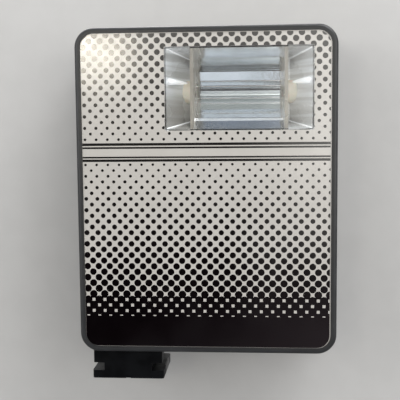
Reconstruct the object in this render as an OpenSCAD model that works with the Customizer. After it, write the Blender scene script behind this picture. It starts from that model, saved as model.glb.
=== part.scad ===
// Compact electronic flash for the accessory shoe of a camera.
// The origin is the centre of the underside of the foot plate, +Z is up, and the front looks along -Y.

/* [Casing] */
// Width of the casing
body_w = 65; // [64:0.5:75]
// Height of the casing without the foot
body_h = 81.8; // [81:0.2:95]
// Depth of the casing from the bezel to the rear face
body_d = 26; // [26:0.5:32]
// Radius of the four corners seen from the front
corner_r = 4.9; // [4:0.1:7]
// Wall thickness of both shells
wall = 1.6; // [1.4:0.1:1.8]
// Depth of the front shell, from the bezel to the seam
front_d = 8; // [7.8:0.1:9]
// Thickness of the front wall behind the panel and the window flange
front_wall = 1.35; // [1:0.05:1.6]
// Radius of the rounded front rim
rim_r = 0.9; // [0.5:0.1:1.2]
// Radius of the rounded rear rim
rear_r = 1.2; // [0.5:0.1:1.4]
// Width and depth of the seam groove between the shells
seam = 0.3; // [0.2:0.05:0.5]

/* [Front panel] */
// Width of the bezel around the panel
bezel_w = 1.5; // [1.3:0.1:2.5]
// Thickness of the printed panel
panel_t = 0.6; // [0.4:0.1:0.8]
// Depth of the panel face below the bezel
panel_sink = 0.25; // [0.1:0.05:0.5]
// Gap around the panel
panel_gap = 0.05; // [0.03:0.01:0.1]

/* [Flash window] */
// Distance from the left side of the casing to the window
window_left = 22.4; // [22:0.2:24]
// Height of the window
window_h = 20.6; // [20.2:0.2:22]
// Distance from the right side of the casing to the window
window_side = 5.8; // [5.4:0.1:7]
// Distance from the top of the casing to the window
window_top = 5; // [4.6:0.1:6]
// Thickness of the window's front
pane_t = 1.3; // [1:0.1:1.5]
// Thickness of the window's side walls
skirt_t = 1; // [0.8:0.1:1.2]
// Depth of the window's side walls behind its flange
skirt_d = 3; // [2:0.1:3.6]
// Width and thickness of the flange that holds the window behind the front wall
flange = 1; // [0.8:0.1:1.2]
// Gap around the window
window_gap = 0.1; // [0.05:0.01:0.2]

/* [Reflector] */
// Wall thickness of the metallised moulding
reflector_t = 0.8; // [0.6:0.1:1]
// Distance from the window's side to the end cheek
bay_w = 5.95; // [5.6:0.05:6.5]
// Depth of the trough, from the rim to its curved bottom
trough_d = 12.4; // [12:0.1:12.8]
// Depth of the end bays
bay_d = 12.2; // [12:0.1:12.4]
// Height of the end bays at their deep end
bay_h = 16.4; // [15.6:0.1:16.8]
// Height of the sloping lip between the rim and the curve of the trough
lip_w = 1.2; // [0.8:0.1:1.4]
// Depth of the sloping lip
lip_d = 3.2; // [2.4:0.1:3.6]
// Thickness of the two end cheeks
cheek_t = 1.15; // [0.9:0.05:1.3]

/* [Flash tube] */
// Radius of the glass tube
tube_r = 1.75; // [1.5:0.05:2]
// Distance from the bottom of the trough to the tube's axis
tube_focus = 2.3; // [2.2:0.05:2.6]
// Radius of the rubber sleeves on the tube's ends
sleeve_r = 3.6; // [3.2:0.1:3.7]
// Length of a sleeve outside its cheek
sleeve_l = 6.6; // [6.4:0.1:7]

/* [Batteries] */
// Radius of an AA cell
cell_r = 7.25; // [7:0.05:7.3]
// Length of an AA cell with its button
cell_l = 50.5; // [50:0.1:50.5]
// Gap between the cells and around them
cell_gap = 0.2; // [0.15:0.05:0.3]
// Wall thickness of the battery box
box_t = 1; // [0.8:0.1:1.2]
// Thickness of the sheet-metal battery contacts
contact_t = 0.4; // [0.3:0.05:0.5]
// Height of the battery box above the casing's underside
box_z = 4; // [3.9:0.1:5]

/* [Battery door] */
// Gap around the door
door_gap = 0.2; // [0.15:0.05:0.3]
// Radius of the hinge knuckles
knuckle_r = 1.8; // [1.7:0.05:1.8]
// Radius of the hinge pin
pin_r = 0.8; // [0.6:0.05:0.9]
// Radial clearance of the hinge pin in the door
pin_play = 0.06; // [0.03:0.01:0.09]
// Width of a hinge lug on the casing
lug_w = 4; // [3:0.1:5]
// Number of grip ribs on the door
door_ribs = 5; // [3:1:5]

/* [Foot] */
// Width of the foot plate, which is standard for an accessory shoe
plate_w = 18.6; // [18.4:0.05:18.6]
// Length of the foot plate, front to back
plate_l = 16; // [15:0.1:18]
// Thickness of the foot plate
plate_t = 2.05; // [1.9:0.05:2.1]
// Height of the groove that takes the rails of the shoe
rail_gap = 2.05; // [1.9:0.05:2.1]
// Width of the neck between the rails
neck_w = 12.4; // [12:0.1:12.4]
// Length of the neck, front to back
neck_l = 14; // [12:0.1:15]
// Width of the tongue that slides in the casing
tongue_w = 17.8; // [17:0.1:17.8]
// Thickness of the tongue, front to back
tongue_t = 4.2; // [3.6:0.1:4.2]
// Drop of the foot plate's underside below the casing when it is pulled out
foot_drop = 7.8; // [7.6:0.1:7.9]
// Travel of the foot when it is pushed in
foot_travel = 5.6; // [5:0.1:5.6]
// Length of tongue that stays inside the casing when the foot is pulled out
tongue_in = 8; // [7:0.1:8.5]
// Distance from the casing's left side to the foot plate
foot_side = 2.4; // [2.4:0.1:5]
// Distance from the bezel to the front of the foot plate
foot_front = 3; // [3:0.1:3.2]
// Sliding clearance around the foot
foot_gap = 0.1; // [0.06:0.01:0.15]
// Radius of the centre contact
contact_r = 2; // [1.5:0.1:2.5]

/* [Exposure dial] */
// Distance from the casing's top to the dial
dial_top = 4; // [3.4:0.1:5]
// Distance from the row of controls up to the dial
dial_low = 7; // [6.6:0.1:9]
// Thickness of the dial
dial_t = 1.6; // [1.4:0.1:2]
// Depth of the dial's seat in the rear face
dial_seat = 0.8; // [0.5:0.1:0.8]
// Number of grip notches around the dial
dial_notches = 40; // [24:1:48]
// Radius of the dial's rivet
rivet_r = 1.5; // [1.2:0.1:2]
// Thickness of the scale plate around the dial
scale_t = 0.3; // [0.2:0.05:0.4]
// Distance from the casing's sides to the scale plate
scale_side = 5.5; // [5:0.1:8]
// Height of the scale plate above and below the dial
scale_rim = 1.6; // [1:0.1:1.8]

/* [Controls] */
// Height of the row of controls above the battery box
control_up = 5.2; // [4.8:0.1:6]
// Place of the power switch to the right of the casing's middle
switch_x = 14; // [12:0.5:15]
// Travel of the power switch
switch_travel = 4; // [3:0.1:4]
// Width and height of the switch knob
knob_w = 5; // [4:0.1:5]
// Place of the test button to the left of the casing's middle
button_x = 6; // [5:0.5:7]
// Radius of the test button
button_r = 2.6; // [2.4:0.1:2.8]
// Travel of the test button
button_travel = 0.8; // [0.5:0.1:0.9]
// Place of the ready lamp to the left of the casing's middle
lamp_x = 17; // [16:0.5:18]
// Radius of the ready lamp's lens
lamp_r = 2.5; // [2:0.1:2.7]
// Sliding clearance of knob, button and dial
slide_gap = 0.15; // [0.1:0.01:0.2]

/* [Electronics] */
// Radius of the main capacitor
cap_r = 8; // [7:0.1:8]
// Distance from the row of controls up to the main capacitor
cap_up = 5.2; // [4.8:0.1:8]
// Thickness of the circuit board
board_t = 1.6; // [1:0.1:1.6]
// Gap between the rear wall and the circuit board
board_gap = 4.2; // [4:0.1:4.4]
// Width of the transformer's core
core_w = 15; // [12:0.5:15]
// Radius of a wire with its insulation
wire_r = 0.45; // [0.3:0.05:0.5]

/* [Fasteners] */
// Radius of a casing screw's shank
screw_r = 1; // [0.8:0.1:1.1]
// Radius of a casing screw's head
head_r = 1.9; // [1.7:0.1:2]
// Height of a casing screw's head
head_h = 1; // [0.8:0.1:1.2]

/* [Hidden] */
$fn = 64;
eps = 0.01;

// The casing frame has its origin at the middle of the casing's front lower edge.
half_w = body_w / 2;
foot_x = -half_w + foot_side + plate_w / 2;
foot_y = foot_front + plate_l / 2;
inner_w = body_w - 2 * wall;

// Depths of the stacked pieces behind the front wall
panel_back = panel_sink + panel_t;
front_back = panel_back + front_wall;
rear_in = body_d - wall;

// Window and reflector
window_w = body_w - window_left - window_side;
window_x = half_w - window_side - window_w / 2;
window_z = body_h - window_top - window_h / 2;
window_r = 0.5;
skirt_end = front_back + flange + skirt_d;
skirt_w = window_w - 2 * (skirt_t + window_gap);
skirt_h = window_h - 2 * (skirt_t + window_gap);
rim_edge = 0.3;
rim_y = panel_sink + pane_t;
rim_w = skirt_w - 2 * (window_gap + rim_edge);
rim_h = skirt_h - 2 * (window_gap + rim_edge);
trough_w = window_w - 2 * bay_w;
trough_end = rim_y + trough_d;
lip_y = rim_y + lip_d;
mouth_h = rim_h - 2 * lip_w;
curve_d = trough_end - lip_y;
curve_steps = 14;
lip_step = 0.25;
tube_y = trough_end - tube_focus;
tube_wall = 0.4;
tube_end = 0.8;
tube_half = trough_w / 2 + sleeve_l - tube_end;
lead_out = 2.2;

// Batteries and their door
cells_z = box_z + box_t + cell_gap + cell_r;
cell_pitch = 2 * cell_r + cell_gap;
box_gap = 0.3;
box_play = 0.1;
box_front = front_d + box_gap;
box_back = rear_in - door_gap;
box_w = inner_w - 2 * box_play;
cell_y = box_front + box_t + cell_gap + cell_r;
box_in_h = 2 * cell_r + cell_pitch + 2 * cell_gap;
box_top = box_z + box_in_h + 2 * box_t;
sill_z = wall + 0.2;
hinge_y = body_d - knuckle_r;
hinge_z = sill_z + door_gap + knuckle_r;
box_floor_back = hinge_y - knuckle_r - box_gap * 2;
door_side = 2.1;
door_w = inner_w - 2 * door_side;
door_top = box_top - box_t / 2;
rib_half = 9;
rib_pitch = 1.8;
rib_t = 0.8;
rib_h = 0.4;
rib_edge = 1.4;
pad_half = 8;
pad_edge = 3.5;
pad_front = cell_y + sqrt(cell_r * cell_r - pad_edge * pad_edge) + box_gap;

// Raised buttons of the cells, and the contacts at the cells' ends
nub_h = 1.2;
nub_r = 2.7;
contact_x = box_w / 2 - box_t;
contact_half = 5;
contact_tip = 0.6;
contact_plate_h = 8;
contact_strip_w = 4;
leaf_w = 6;
leaf_bend_x = (cell_l / 2 + contact_x) / 2;
lug_xs = [-(door_w - lug_w) / 2, 0, (door_w - lug_w) / 2];

// Foot
neck_top = -foot_drop + plate_t + rail_gap;
foot_end_gap = 0.3;
recess_z = neck_top + foot_travel + foot_end_gap;
guide_wall = 0.55;
guide_front = foot_front - foot_gap - guide_wall;
guide_back = foot_front + tongue_t + foot_gap + guide_wall;
guide_top = tongue_in + foot_travel + foot_end_gap + 0.5;
plate_r = 0.8;
nick_w = 1.2;
nick_h = 0.35;
contact_h = 0.8;
contact_sink = 0.1;
pin_share = 0.5;
strip_front = 5;
strip_back = 4;
detent_z = 5;
detent_r = 0.9;
detent_w = 2.4;
detent_t = 0.3;
detent_l = 6.4;
strip_t = 0.3;

// Casing screws: two beside the controls and one in the top right corner
screw_side = 3.9;
screw_top = 4.2;
post_r = 2.2;
post_floor = 1.4;
post_y = front_back + post_floor;
screw_end = 1;
head_gap = 0.2;
slot_l = 2.4;
slot_w = 0.5;
slot_h = 0.6;

// Main capacitor, between the row of controls and the casing's top
cap_side = 0.6;
cap_rear = 2.6;
cap_roof = 2.2;
cap_clear = 1;
can_t = 0.8;
seal_t = 2.4;
cap_pitch = 6;
lug_l = 1.6;
cap_x = -half_w + wall + cap_side + cap_r;
cap_y = rear_in - cap_rear - cap_r;
control_z = box_top + control_up;
cap_z = control_z + cap_up;
cap_l = body_h - wall - cap_roof - cap_z;
cradle_w = 2 * cap_r - 3;
screw_spots = [[-(half_w - screw_side), control_z], [half_w - screw_side, control_z],
  [half_w - screw_side, body_h - screw_top]];

// Circuit board, with a cut corner for the capacitor
board_edge = 0.4;
board_back = rear_in - board_gap;
board_front = board_back - board_t;
board_z = box_top + 0.8;
board_top = body_h - wall - 1;
board_cut_x = cap_x + cap_r + cap_clear;
board_cut_z = cap_z - cap_clear;
board_post_r = 1.5;
board_posts = [[board_cut_x + 3, board_top - 3], [inner_w / 2 - 4, control_z + 12],
  [(switch_x - button_x) / 2 - 1, board_z + 3]];

// Row of parts on the board, between the capacitor and the screw post on the right
core_d = 10;
core_h = 12;
core_leg = 2.2;
core_window = 3.8;
core_offset = core_w / 4 + 0.6;
tape_t = 0.8;
coil_r = 3.2;
coil_l = 8;
coil_end = 1;
lead_r = 0.3;
diode_r = 1.35;
diode_l = 4.4;
diode_span = 8;
transistor_r = 2.4;
pill_r = 1.9;
pill_w = 4;
row_left = cap_x + cap_r;
row_right = half_w - screw_side - post_r - board_edge;
row_gap = (row_right - row_left - core_w - diode_span - coil_l - 2 * coil_end) / 4;
core_x = row_left + row_gap + core_w / 2;
part_x = core_x + core_w / 2 + row_gap + diode_span / 2;
coil_x = part_x + diode_span / 2 + row_gap + coil_end + coil_l / 2;
core_z = (board_z + window_z - window_h / 2) / 2 + 0.4;
second_row = core_z + core_h / 2 + pill_r + 0.3;

// Resistors in a row near the board's upper edge
resistor_count = 4;
resistor_r = 1.15;
resistor_l = 4.4;
resistor_span = 6.8;
resistor_pitch = 7.5;
resistor_z = board_top - 4;

// Electrodes and wires
electrode_l = 4;
joint_r = wire_r + 0.03;
wire_y = board_front - joint_r;
wire_drop = 6;

// Dial and controls
dial_r = (body_h - dial_top - control_z - dial_low) / 2;
dial_z = body_h - dial_top - dial_r;
dial_y = body_d - dial_seat;
seat_r = dial_r + slide_gap;
dial_bore_play = 0.06;
dial_lift = 0.1;
dial_rim = 1.6;
dial_step = 0.2;
notch_r = 0.6;
notch_out = 0.25;
rivet_head = 0.9;
rivet_head_h = 0.5;
rivet_tail = 1;
boss_t = 1.5;
scale_half_w = half_w - scale_side;
scale_half_h = dial_r + scale_rim;
scale_r = 2;
knob_sink = 0.8;
knob_y = body_d - knob_sink;
knob_lift = 0.1;
knob_out = 0.6;
knob_groove = 0.3;
knob_pitch = 0.7;
stem_w = 2;
switch_w = 11;
switch_h = 5.2;
switch_floor = 1.2;
button_flange = 0.5;
flange_t = 0.6;
button_out = button_travel + 0.1;
lens_rim = 0.5;
neon_r = 1.7;
neon_l = 6;
neon_y = rear_in - neon_r - 0.3;
button_rest = 0.1;
test_contact_t = 0.3;

// Return spring of the test button, as separate rings
spring_turns = 4;
spring_wire = 0.25;
spring_r = 1.6;
spring_rest = 0.05;
spring_from = board_back + test_contact_t + spring_wire + spring_rest;
spring_to = rear_in - button_rest - flange_t - spring_wire - spring_rest;
spring_pitch = (spring_to - spring_from) / (spring_turns - 1);

// Moves a piece from the casing frame to the part's own frame
module in_part() translate([-foot_x, -foot_y, foot_drop]) children();

// Flat outline with four round corners, from the point [0, 0]
module rounded_square(w, h, r) {
  translate([r, 0]) square([w - 2 * r, h]);
  translate([0, r]) square([w, h - 2 * r]);
  for (x = [r, w - r], z = [r, h - r]) translate([x, z]) circle(r);
}

// Draws a flat outline in X and Z, and gives it depth from y0 to y1
module stand(y0, y1) translate([0, y1, 0]) rotate([90, 0, 0]) linear_extrude(y1 - y0) children();

// Upright plate with round corners, centred on x and z
module plate(w, h, r, y0, y1) stand(y0, y1) translate([-w / 2, -h / 2]) rounded_square(w, h, r);

// Upright plate of the casing's outline, made smaller by inset on every side
module casing_plate(inset, y0, y1)
  translate([0, 0, body_h / 2])
    plate(body_w - 2 * inset, body_h - 2 * inset, corner_r - inset, y0, y1);

// Section of a rounded case's wall, from its corner's centre outwards, with round front and rear rims
module case_section(c, y0, y1, r0, r1) {
  translate([0, y0]) square([c - max(r0, r1), y1 - y0]);
  translate([0, y0 + r0]) square([c, y1 - y0 - r0 - r1]);
  if (r0 > 0) translate([c - r0, y0 + r0]) circle(r0);
  if (r1 > 0) translate([c - r1, y1 - r1]) circle(r1);
}

// Solid block of the casing's outline with round rims: r0 at the front and r1 at the rear
module rounded_case(y0, y1, r0, r1) translate([0, 0, body_h / 2]) {
  c = corner_r;
  block([-half_w + c, y0, -body_h / 2 + c], [half_w - c, y1, body_h / 2 - c]);
  for (i = [0 : 3]) {
    out = (i % 2 == 0 ? body_w : body_h) / 2 - c;
    run = (i % 2 == 0 ? body_h : body_w) - 2 * c;
    rotate([0, 90 * i, 0]) translate([out, 0, -run / 2]) {
      linear_extrude(run) case_section(c, y0, y1, r0, r1);
      rotate([-90, 0, 0]) rotate_extrude(angle = 90) case_section(c, y0, y1, r0, r1);
    }
  }
}

// Round bars along X and Y: the first is centred, the second runs from y0 to y1
module rod_x(r, l) rotate([0, 90, 0]) cylinder(r = r, h = l, center = true);
module rod_y(r, y0, y1) translate([0, y1, 0]) rotate([90, 0, 0]) cylinder(r = r, h = y1 - y0);

// Gives an outline drawn in Y and Z its length along X
module along_x(x0, x1) translate([x0, 0, 0]) rotate([90, 0, 90]) linear_extrude(x1 - x0) children();

// Block between two corners
module block(low, high) translate(low) cube(high - low);

// Round wire through a list of points, with round corners
module wire(points, r) {
  for (i = [0 : len(points) - 2]) {
    run = points[i + 1] - points[i];
    translate(points[i])
      rotate([0, acos(run[2] / norm(run)), atan2(run[1], run[0])]) cylinder(r = r, h = norm(run), $fn = 16);
  }
  for (p = points) translate(p) sphere(r + 0.03, $fn = 16);
}

// Space that the foot's tongue and neck move through, in both shells
module foot_passage() {
  translate([foot_x, 0, 0]) {
    block([-tongue_w / 2 - foot_gap, foot_front - foot_gap, -1],
      [tongue_w / 2 + foot_gap, foot_front + tongue_t + foot_gap, guide_top]);
    block([-neck_w / 2 - foot_gap, foot_front - foot_gap, -1],
      [neck_w / 2 + foot_gap, foot_front + neck_l + foot_gap, recess_z]);
  }
}

// Outer block of the guide that the tongue slides in
module guide_outline()
  block([foot_x - tongue_w / 2 - foot_gap - guide_wall, guide_front, wall],
    [foot_x + tongue_w / 2 + foot_gap + guide_wall, guide_back, guide_top + guide_wall]);

// Thick floor over the neck's recess
module foot_pad(y0, y1)
  block([foot_x - neck_w / 2 - wall, y0, 0], [foot_x + neck_w / 2 + wall, y1, recess_z + 1]);

module front_shell() color([0.22, 0.22, 0.23]) in_part() difference() {
  union() {
    difference() {
      union() {
        rounded_case(0, front_d - seam, rim_r, 0);
        casing_plate(seam, front_d - 2 * seam, front_d);
      }
      casing_plate(wall, front_back, front_d + 1);
    }
    foot_pad(front_back - eps, front_d);
    for (s = screw_spots) translate([s[0], 0, s[1]]) rod_y(post_r, front_back - eps, front_d);
  }
  casing_plate(bezel_w, -1, panel_back);
  translate([window_x, 0, window_z])
    plate(window_w, window_h, window_r, -1, front_back + 1);
  foot_passage();
  guide_outline();
  for (s = screw_spots) translate([s[0], 0, s[1]]) rod_y(screw_r, post_y, front_d + 1);
}

module rear_shell() color([0.2, 0.2, 0.21]) in_part() difference() {
  union() {
    difference() {
      rounded_case(front_d, body_d, 0, rear_r);
      casing_plate(wall, front_d - 1, rear_in);
    }
    intersection() {
      foot_pad(front_d, foot_front + neck_l + foot_gap + wall);
      casing_plate(0.5, front_d, body_d);
    }
    for (s = screw_spots) translate([s[0], 0, s[1]]) rod_y(post_r, front_d, rear_in + eps);
    translate([0, 0, dial_z]) rod_y(rivet_r + boss_t, rear_in - rivet_tail, rear_in + eps);
    for (s = board_posts) translate([s[0], 0, s[1]]) rod_y(board_post_r, board_back, rear_in + eps);
    capacitor_cradle();
    intersection() {
      hinge_lugs();
      rounded_case(front_d, body_d, 0, rear_r);
    }
  }
  foot_passage();
  // Battery opening, with its lugs left standing
  difference() {
    block([-door_w / 2 - door_gap, hinge_y - knuckle_r - 1, sill_z],
      [door_w / 2 + door_gap, body_d + 1, door_top + door_gap]);
    hinge_lugs();
  }
  translate([0, hinge_y, hinge_z]) rod_x(pin_r, door_w);
  // Dial seat, scale plate and rivet
  translate([0, 0, dial_z]) {
    rod_y(seat_r, dial_y, body_d + 1);
    rod_y(rivet_r, rear_in - 2, body_d + 1);
  }
  scale_outline(0, body_d - scale_t, body_d + 1);
  // Power switch, test button and ready lamp
  translate([switch_x, 0, control_z]) {
    plate(knob_w + switch_travel + 2 * slide_gap, knob_w + 2 * slide_gap, 0.6, knob_y, body_d + 1);
    plate(stem_w + switch_travel + 2 * slide_gap, stem_w + 2 * slide_gap, 0.4, rear_in - 1, body_d);
  }
  translate([-button_x, 0, control_z]) rod_y(button_r + slide_gap, rear_in - 1, body_d + 1);
  translate([-lamp_x, 0, control_z]) rod_y(lamp_r, rear_in - 1, body_d + 1);
  for (s = screw_spots) translate([s[0], 0, s[1]]) {
    rod_y(screw_r, front_d - 1, body_d + 1);
    rod_y(head_r + head_gap, body_d - head_h - head_gap, body_d + 1);
  }
}

// Two ribs that hold the main capacitor
module capacitor_cradle() for (z = [cap_z + cap_l / 4, cap_z + cap_l * 3 / 4]) difference() {
  block([cap_x - cradle_w / 2, cap_y, z], [cap_x + cradle_w / 2, rear_in + eps, z + wall]);
  translate([cap_x, cap_y, z - 1]) cylinder(r = cap_r, h = wall + 2);
}

// Lugs of the door's hinge, on the sill
module hinge_lugs() for (x = lug_xs) translate([x, 0, 0]) {
  translate([0, hinge_y, hinge_z]) rod_x(knuckle_r, lug_w);
  block([-lug_w / 2, hinge_y - knuckle_r, 0], [lug_w / 2, hinge_y, hinge_z]);
}

module front_panel() color([0.86, 0.85, 0.82]) in_part() difference() {
  casing_plate(bezel_w + panel_gap, panel_sink, panel_back);
  translate([window_x, 0, window_z]) plate(window_w, window_h, window_r, -1, front_back);
}

module flash_window() color([0.9, 0.95, 1, 0.35]) in_part() difference() {
  translate([window_x, 0, window_z]) difference() {
    union() {
      plate(window_w - 2 * window_gap, window_h - 2 * window_gap, window_r - window_gap,
        panel_sink, skirt_end);
      plate(window_w + 2 * flange, window_h + 2 * flange, window_r, front_back, front_back + flange);
    }
    plate(skirt_w, skirt_h, window_r / 2, panel_sink + pane_t, skirt_end + 1);
  }
  // Room for the screw posts
  for (s = screw_spots) translate([s[0], 0, s[1]]) rod_y(post_r + window_gap, front_back - eps, front_d);
}

// Outline of the trough in Y and Z: a sloping lip, a step and a parabola, grown outwards by t
module trough_outline(t) {
  depth = curve_d + t;
  half = mouth_h / 2 + t;
  polygon([for (i = [0 : 2 * curve_steps])
    let (u = 1 - i / curve_steps) [lip_y + depth * (1 - u * u), half * u]]);
  if (t == 0)
    polygon([[rim_y - 1, rim_h / 2 + lip_w / lip_d], [lip_y, half + lip_step], [lip_y + 2 * eps, half],
      [lip_y + 2 * eps, -half], [lip_y, -half - lip_step], [rim_y - 1, -rim_h / 2 - lip_w / lip_d]]);
}

// One end bay: a wedge that narrows from the rim to the cheek, grown outwards by t
module bay_wedge(side, t) hull() {
  mirror([side < 0 ? 1 : 0, 0, 0]) {
    block([trough_w / 2 - cheek_t - t, rim_y - (t > 0 ? 0 : 1), -rim_h / 2],
      [rim_w / 2 + t * 0.3, rim_y + eps, rim_h / 2]);
    block([trough_w / 2 - cheek_t - t, rim_y + bay_d + t - eps, -bay_h / 2 - t],
      [trough_w / 2 + t, rim_y + bay_d + t, bay_h / 2 + t]);
  }
}

module reflector() color([0.8, 0.82, 0.84]) in_part() translate([window_x, 0, window_z]) difference() {
  union() {
    block([-skirt_w / 2 + window_gap, rim_y, -skirt_h / 2 + window_gap],
      [skirt_w / 2 - window_gap, lip_y, skirt_h / 2 - window_gap]);
    along_x(-trough_w / 2 + cheek_t, trough_w / 2 - cheek_t) trough_outline(reflector_t);
    for (side = [-1, 1]) bay_wedge(side, reflector_t);
  }
  along_x(-trough_w / 2 + cheek_t - eps, trough_w / 2 - cheek_t + eps) trough_outline(0);
  for (side = [-1, 1]) {
    bay_wedge(side, 0);
    translate([side * (trough_w + bay_w + 1) / 2, tube_y, 0]) rod_x(sleeve_r, bay_w + 1);
  }
  translate([0, tube_y, 0]) rod_x(tube_r, trough_w + 1);
}

module reflector_cheeks() color([0.75, 0.68, 0.58, 0.6]) in_part() translate([window_x, 0, window_z])
  for (side = [-1, 1]) mirror([side < 0 ? 1 : 0, 0, 0]) difference() {
    along_x(trough_w / 2 - cheek_t, trough_w / 2)
      polygon([[rim_y, rim_h / 2], [rim_y + bay_d, bay_h / 2], [rim_y + bay_d, -bay_h / 2],
        [rim_y, -rim_h / 2]]);
    translate([0, tube_y, 0]) rod_x(tube_r, window_w);
  }

module flash_tube() color([0.85, 0.9, 0.95, 0.4]) in_part() translate([window_x, tube_y, window_z])
  difference() {
    rod_x(tube_r, 2 * tube_half);
    rod_x(tube_r - tube_wall, 2 * tube_half + 1);
  }

module tube_electrodes() color([0.6, 0.6, 0.62]) in_part() translate([window_x, tube_y, window_z])
  for (side = [-1, 1]) {
    translate([side * (tube_half - electrode_l / 2), 0, 0]) rod_x(tube_r - tube_wall, electrode_l);
    translate([side * (tube_half + lead_out / 2), 0, 0]) rod_x(wire_r, lead_out);
  }

module tube_sleeves() color([0.85, 0.8, 0.68]) in_part() translate([window_x, tube_y, window_z])
  for (side = [-1, 1]) translate([side * (trough_w + sleeve_l) / 2, 0, 0]) difference() {
    rod_x(sleeve_r, sleeve_l);
    rod_x(tube_r, 2 * tube_half);
    translate([side * (sleeve_l / 2), 0, 0]) rod_x(wire_r, sleeve_l);
  }

module battery_box() color([0.16, 0.16, 0.17]) in_part() difference() {
  intersection() {
    block([-box_w / 2, box_front, box_z], [box_w / 2, box_back, box_top]);
    casing_plate(wall + box_play, box_front - 1, box_back + 1);
  }
  block([-box_w / 2 + box_t, box_front + box_t, box_z + box_t],
    [box_w / 2 - box_t, box_back + 1, box_top - box_t]);
  // The floor ends before the door's knuckles
  block([-door_w / 2 - door_gap, box_floor_back, box_z - 1],
    [door_w / 2 + door_gap, box_back + 1, box_z + box_t + 1]);
}

module battery_cells() color([0.2, 0.35, 0.55]) in_part()
  for (i = [0, 1]) translate([0, cell_y, cells_z + i * cell_pitch]) mirror([i, 0, 0]) {
    translate([-nub_h / 2, 0, 0]) rod_x(cell_r, cell_l - nub_h);
    translate([cell_l / 2 - nub_h / 2, 0, 0]) rod_x(nub_r, nub_h);
  }

// Sheet-metal contact with a bent spring tip for one cell
module cell_contact(side) mirror([side < 0 ? 1 : 0, 0, 0]) translate([0, cell_y, -leaf_w / 2])
  linear_extrude(leaf_w)
    polygon([[contact_x, -contact_half], [contact_x - contact_t, -contact_half], [cell_l / 2, -contact_tip],
      [cell_l / 2, contact_tip], [leaf_bend_x, contact_half - contact_tip],
      [leaf_bend_x + contact_t, contact_half - contact_tip + contact_t / 2], [cell_l / 2 + contact_t, 0],
      [contact_x - contact_t, -contact_half + 2 * contact_t], [contact_x, -contact_half + 2 * contact_t]]);

module battery_contacts() color([0.75, 0.73, 0.66]) in_part() {
  for (i = [0, 1], side = [-1, 1]) translate([0, 0, cells_z + i * cell_pitch]) {
    cell_contact(side);
    translate([side * (contact_x - contact_t / 2), cell_y, 0])
      cube([contact_t, 2 * contact_half, contact_plate_h], center = true);
  }
  // Strip that joins the two contacts on the left
  block([-contact_x, cell_y - contact_strip_w / 2, cells_z],
    [-contact_x + contact_t, cell_y + contact_strip_w / 2, cells_z + cell_pitch]);
}

module hinge_pin() color([0.7, 0.7, 0.72]) in_part() translate([0, hinge_y, hinge_z]) rod_x(pin_r, door_w);

module foot_guide() color([0.14, 0.14, 0.15]) in_part() difference() {
  guide_outline();
  foot_passage();
  // Opening for the bump of the detent spring
  translate([foot_x + tongue_w / 2, foot_front + tongue_t / 2, detent_z])
    block([0, -detent_w / 2 - foot_gap, -detent_r - 0.2], [2, detent_w / 2 + foot_gap, detent_r + 0.2]);
}

// Leaf spring whose bump holds the tongue where it is put
module detent_spring() color([0.7, 0.7, 0.72]) in_part()
  translate([foot_x + tongue_w / 2 + foot_gap + guide_wall, foot_front + tongue_t / 2, detent_z]) {
    block([0, -detent_w / 2, -detent_l / 2], [detent_t, detent_w / 2, detent_l / 2]);
    intersection() {
      translate([detent_r - guide_wall - foot_gap / 2, 0, 0]) rotate([90, 0, 0])
        cylinder(r = detent_r, h = detent_w, center = true);
      block([-2, -detent_w, -detent_r], [detent_t / 2, detent_w, detent_r]);
    }
  }

module main_capacitor() color([0.12, 0.14, 0.2]) in_part() translate([cap_x, cap_y, cap_z]) difference() {
  cylinder(r = cap_r, h = cap_l);
  translate([0, 0, -1]) cylinder(r = cap_r - can_t, h = 1 + seal_t);
  // Crimped groove near the open end
  translate([0, 0, seal_t + 1]) rotate_extrude() translate([cap_r + can_t / 2, 0]) circle(can_t * 3 / 4);
}

module capacitor_seal() color([0.3, 0.22, 0.18]) in_part() translate([cap_x, cap_y, cap_z]) {
  cylinder(r = cap_r - can_t, h = seal_t);
  for (x = [-cap_pitch / 2, cap_pitch / 2]) translate([x, 0, -lug_l]) cylinder(r = wire_r, h = lug_l);
}

module circuit_board() color([0.5, 0.36, 0.16]) in_part() difference() {
  union() {
    block([-inner_w / 2 + board_edge, board_front, board_z],
      [inner_w / 2 - board_edge, board_back, board_cut_z]);
    block([board_cut_x, board_front, board_z], [inner_w / 2 - board_edge, board_back, board_top]);
  }
  for (s = screw_spots) translate([s[0], 0, s[1]])
    rod_y(post_r + board_edge, board_front - 1, board_back + 1);
}

// Two bent legs that carry a component on the board, at a distance of span from each other
module legs(span, drop, r) for (side = [-1, 1]) translate([side * span / 2, 0, 0]) rod_y(r, 0, drop);

// Places a component against the board's front face
module on_board(x, z) translate([x, board_front, z]) children();

module transformer_core() color([0.25, 0.24, 0.24]) in_part() on_board(core_x, core_z) difference() {
  block([-core_w / 2, -core_d, -core_h / 2], [core_w / 2, 0, core_h / 2]);
  for (side = [-1, 1]) translate([side * core_offset, 0, 0])
    block([-core_window / 2, -core_d - 1, -core_h / 2 + core_leg],
      [core_window / 2, 1, core_h / 2 - core_leg]);
}

module transformer_winding() color([0.72, 0.42, 0.2]) in_part() on_board(core_x, core_z)
  for (side = [-1, 1]) translate([side * core_offset, 0, 0])
    block([-core_window / 2, -core_d + tape_t, -core_h / 2 + core_leg],
      [core_window / 2, -tape_t, core_h / 2 - core_leg]);

module trigger_coil() color([0.6, 0.2, 0.12]) in_part() on_board(coil_x, core_z)
  translate([0, -coil_r, 0]) {
    rod_x(coil_r, coil_l);
    rod_x(coil_r - tape_t, coil_l + 2 * coil_end);
    legs(coil_l + coil_end, coil_r, lead_r);
  }

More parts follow.
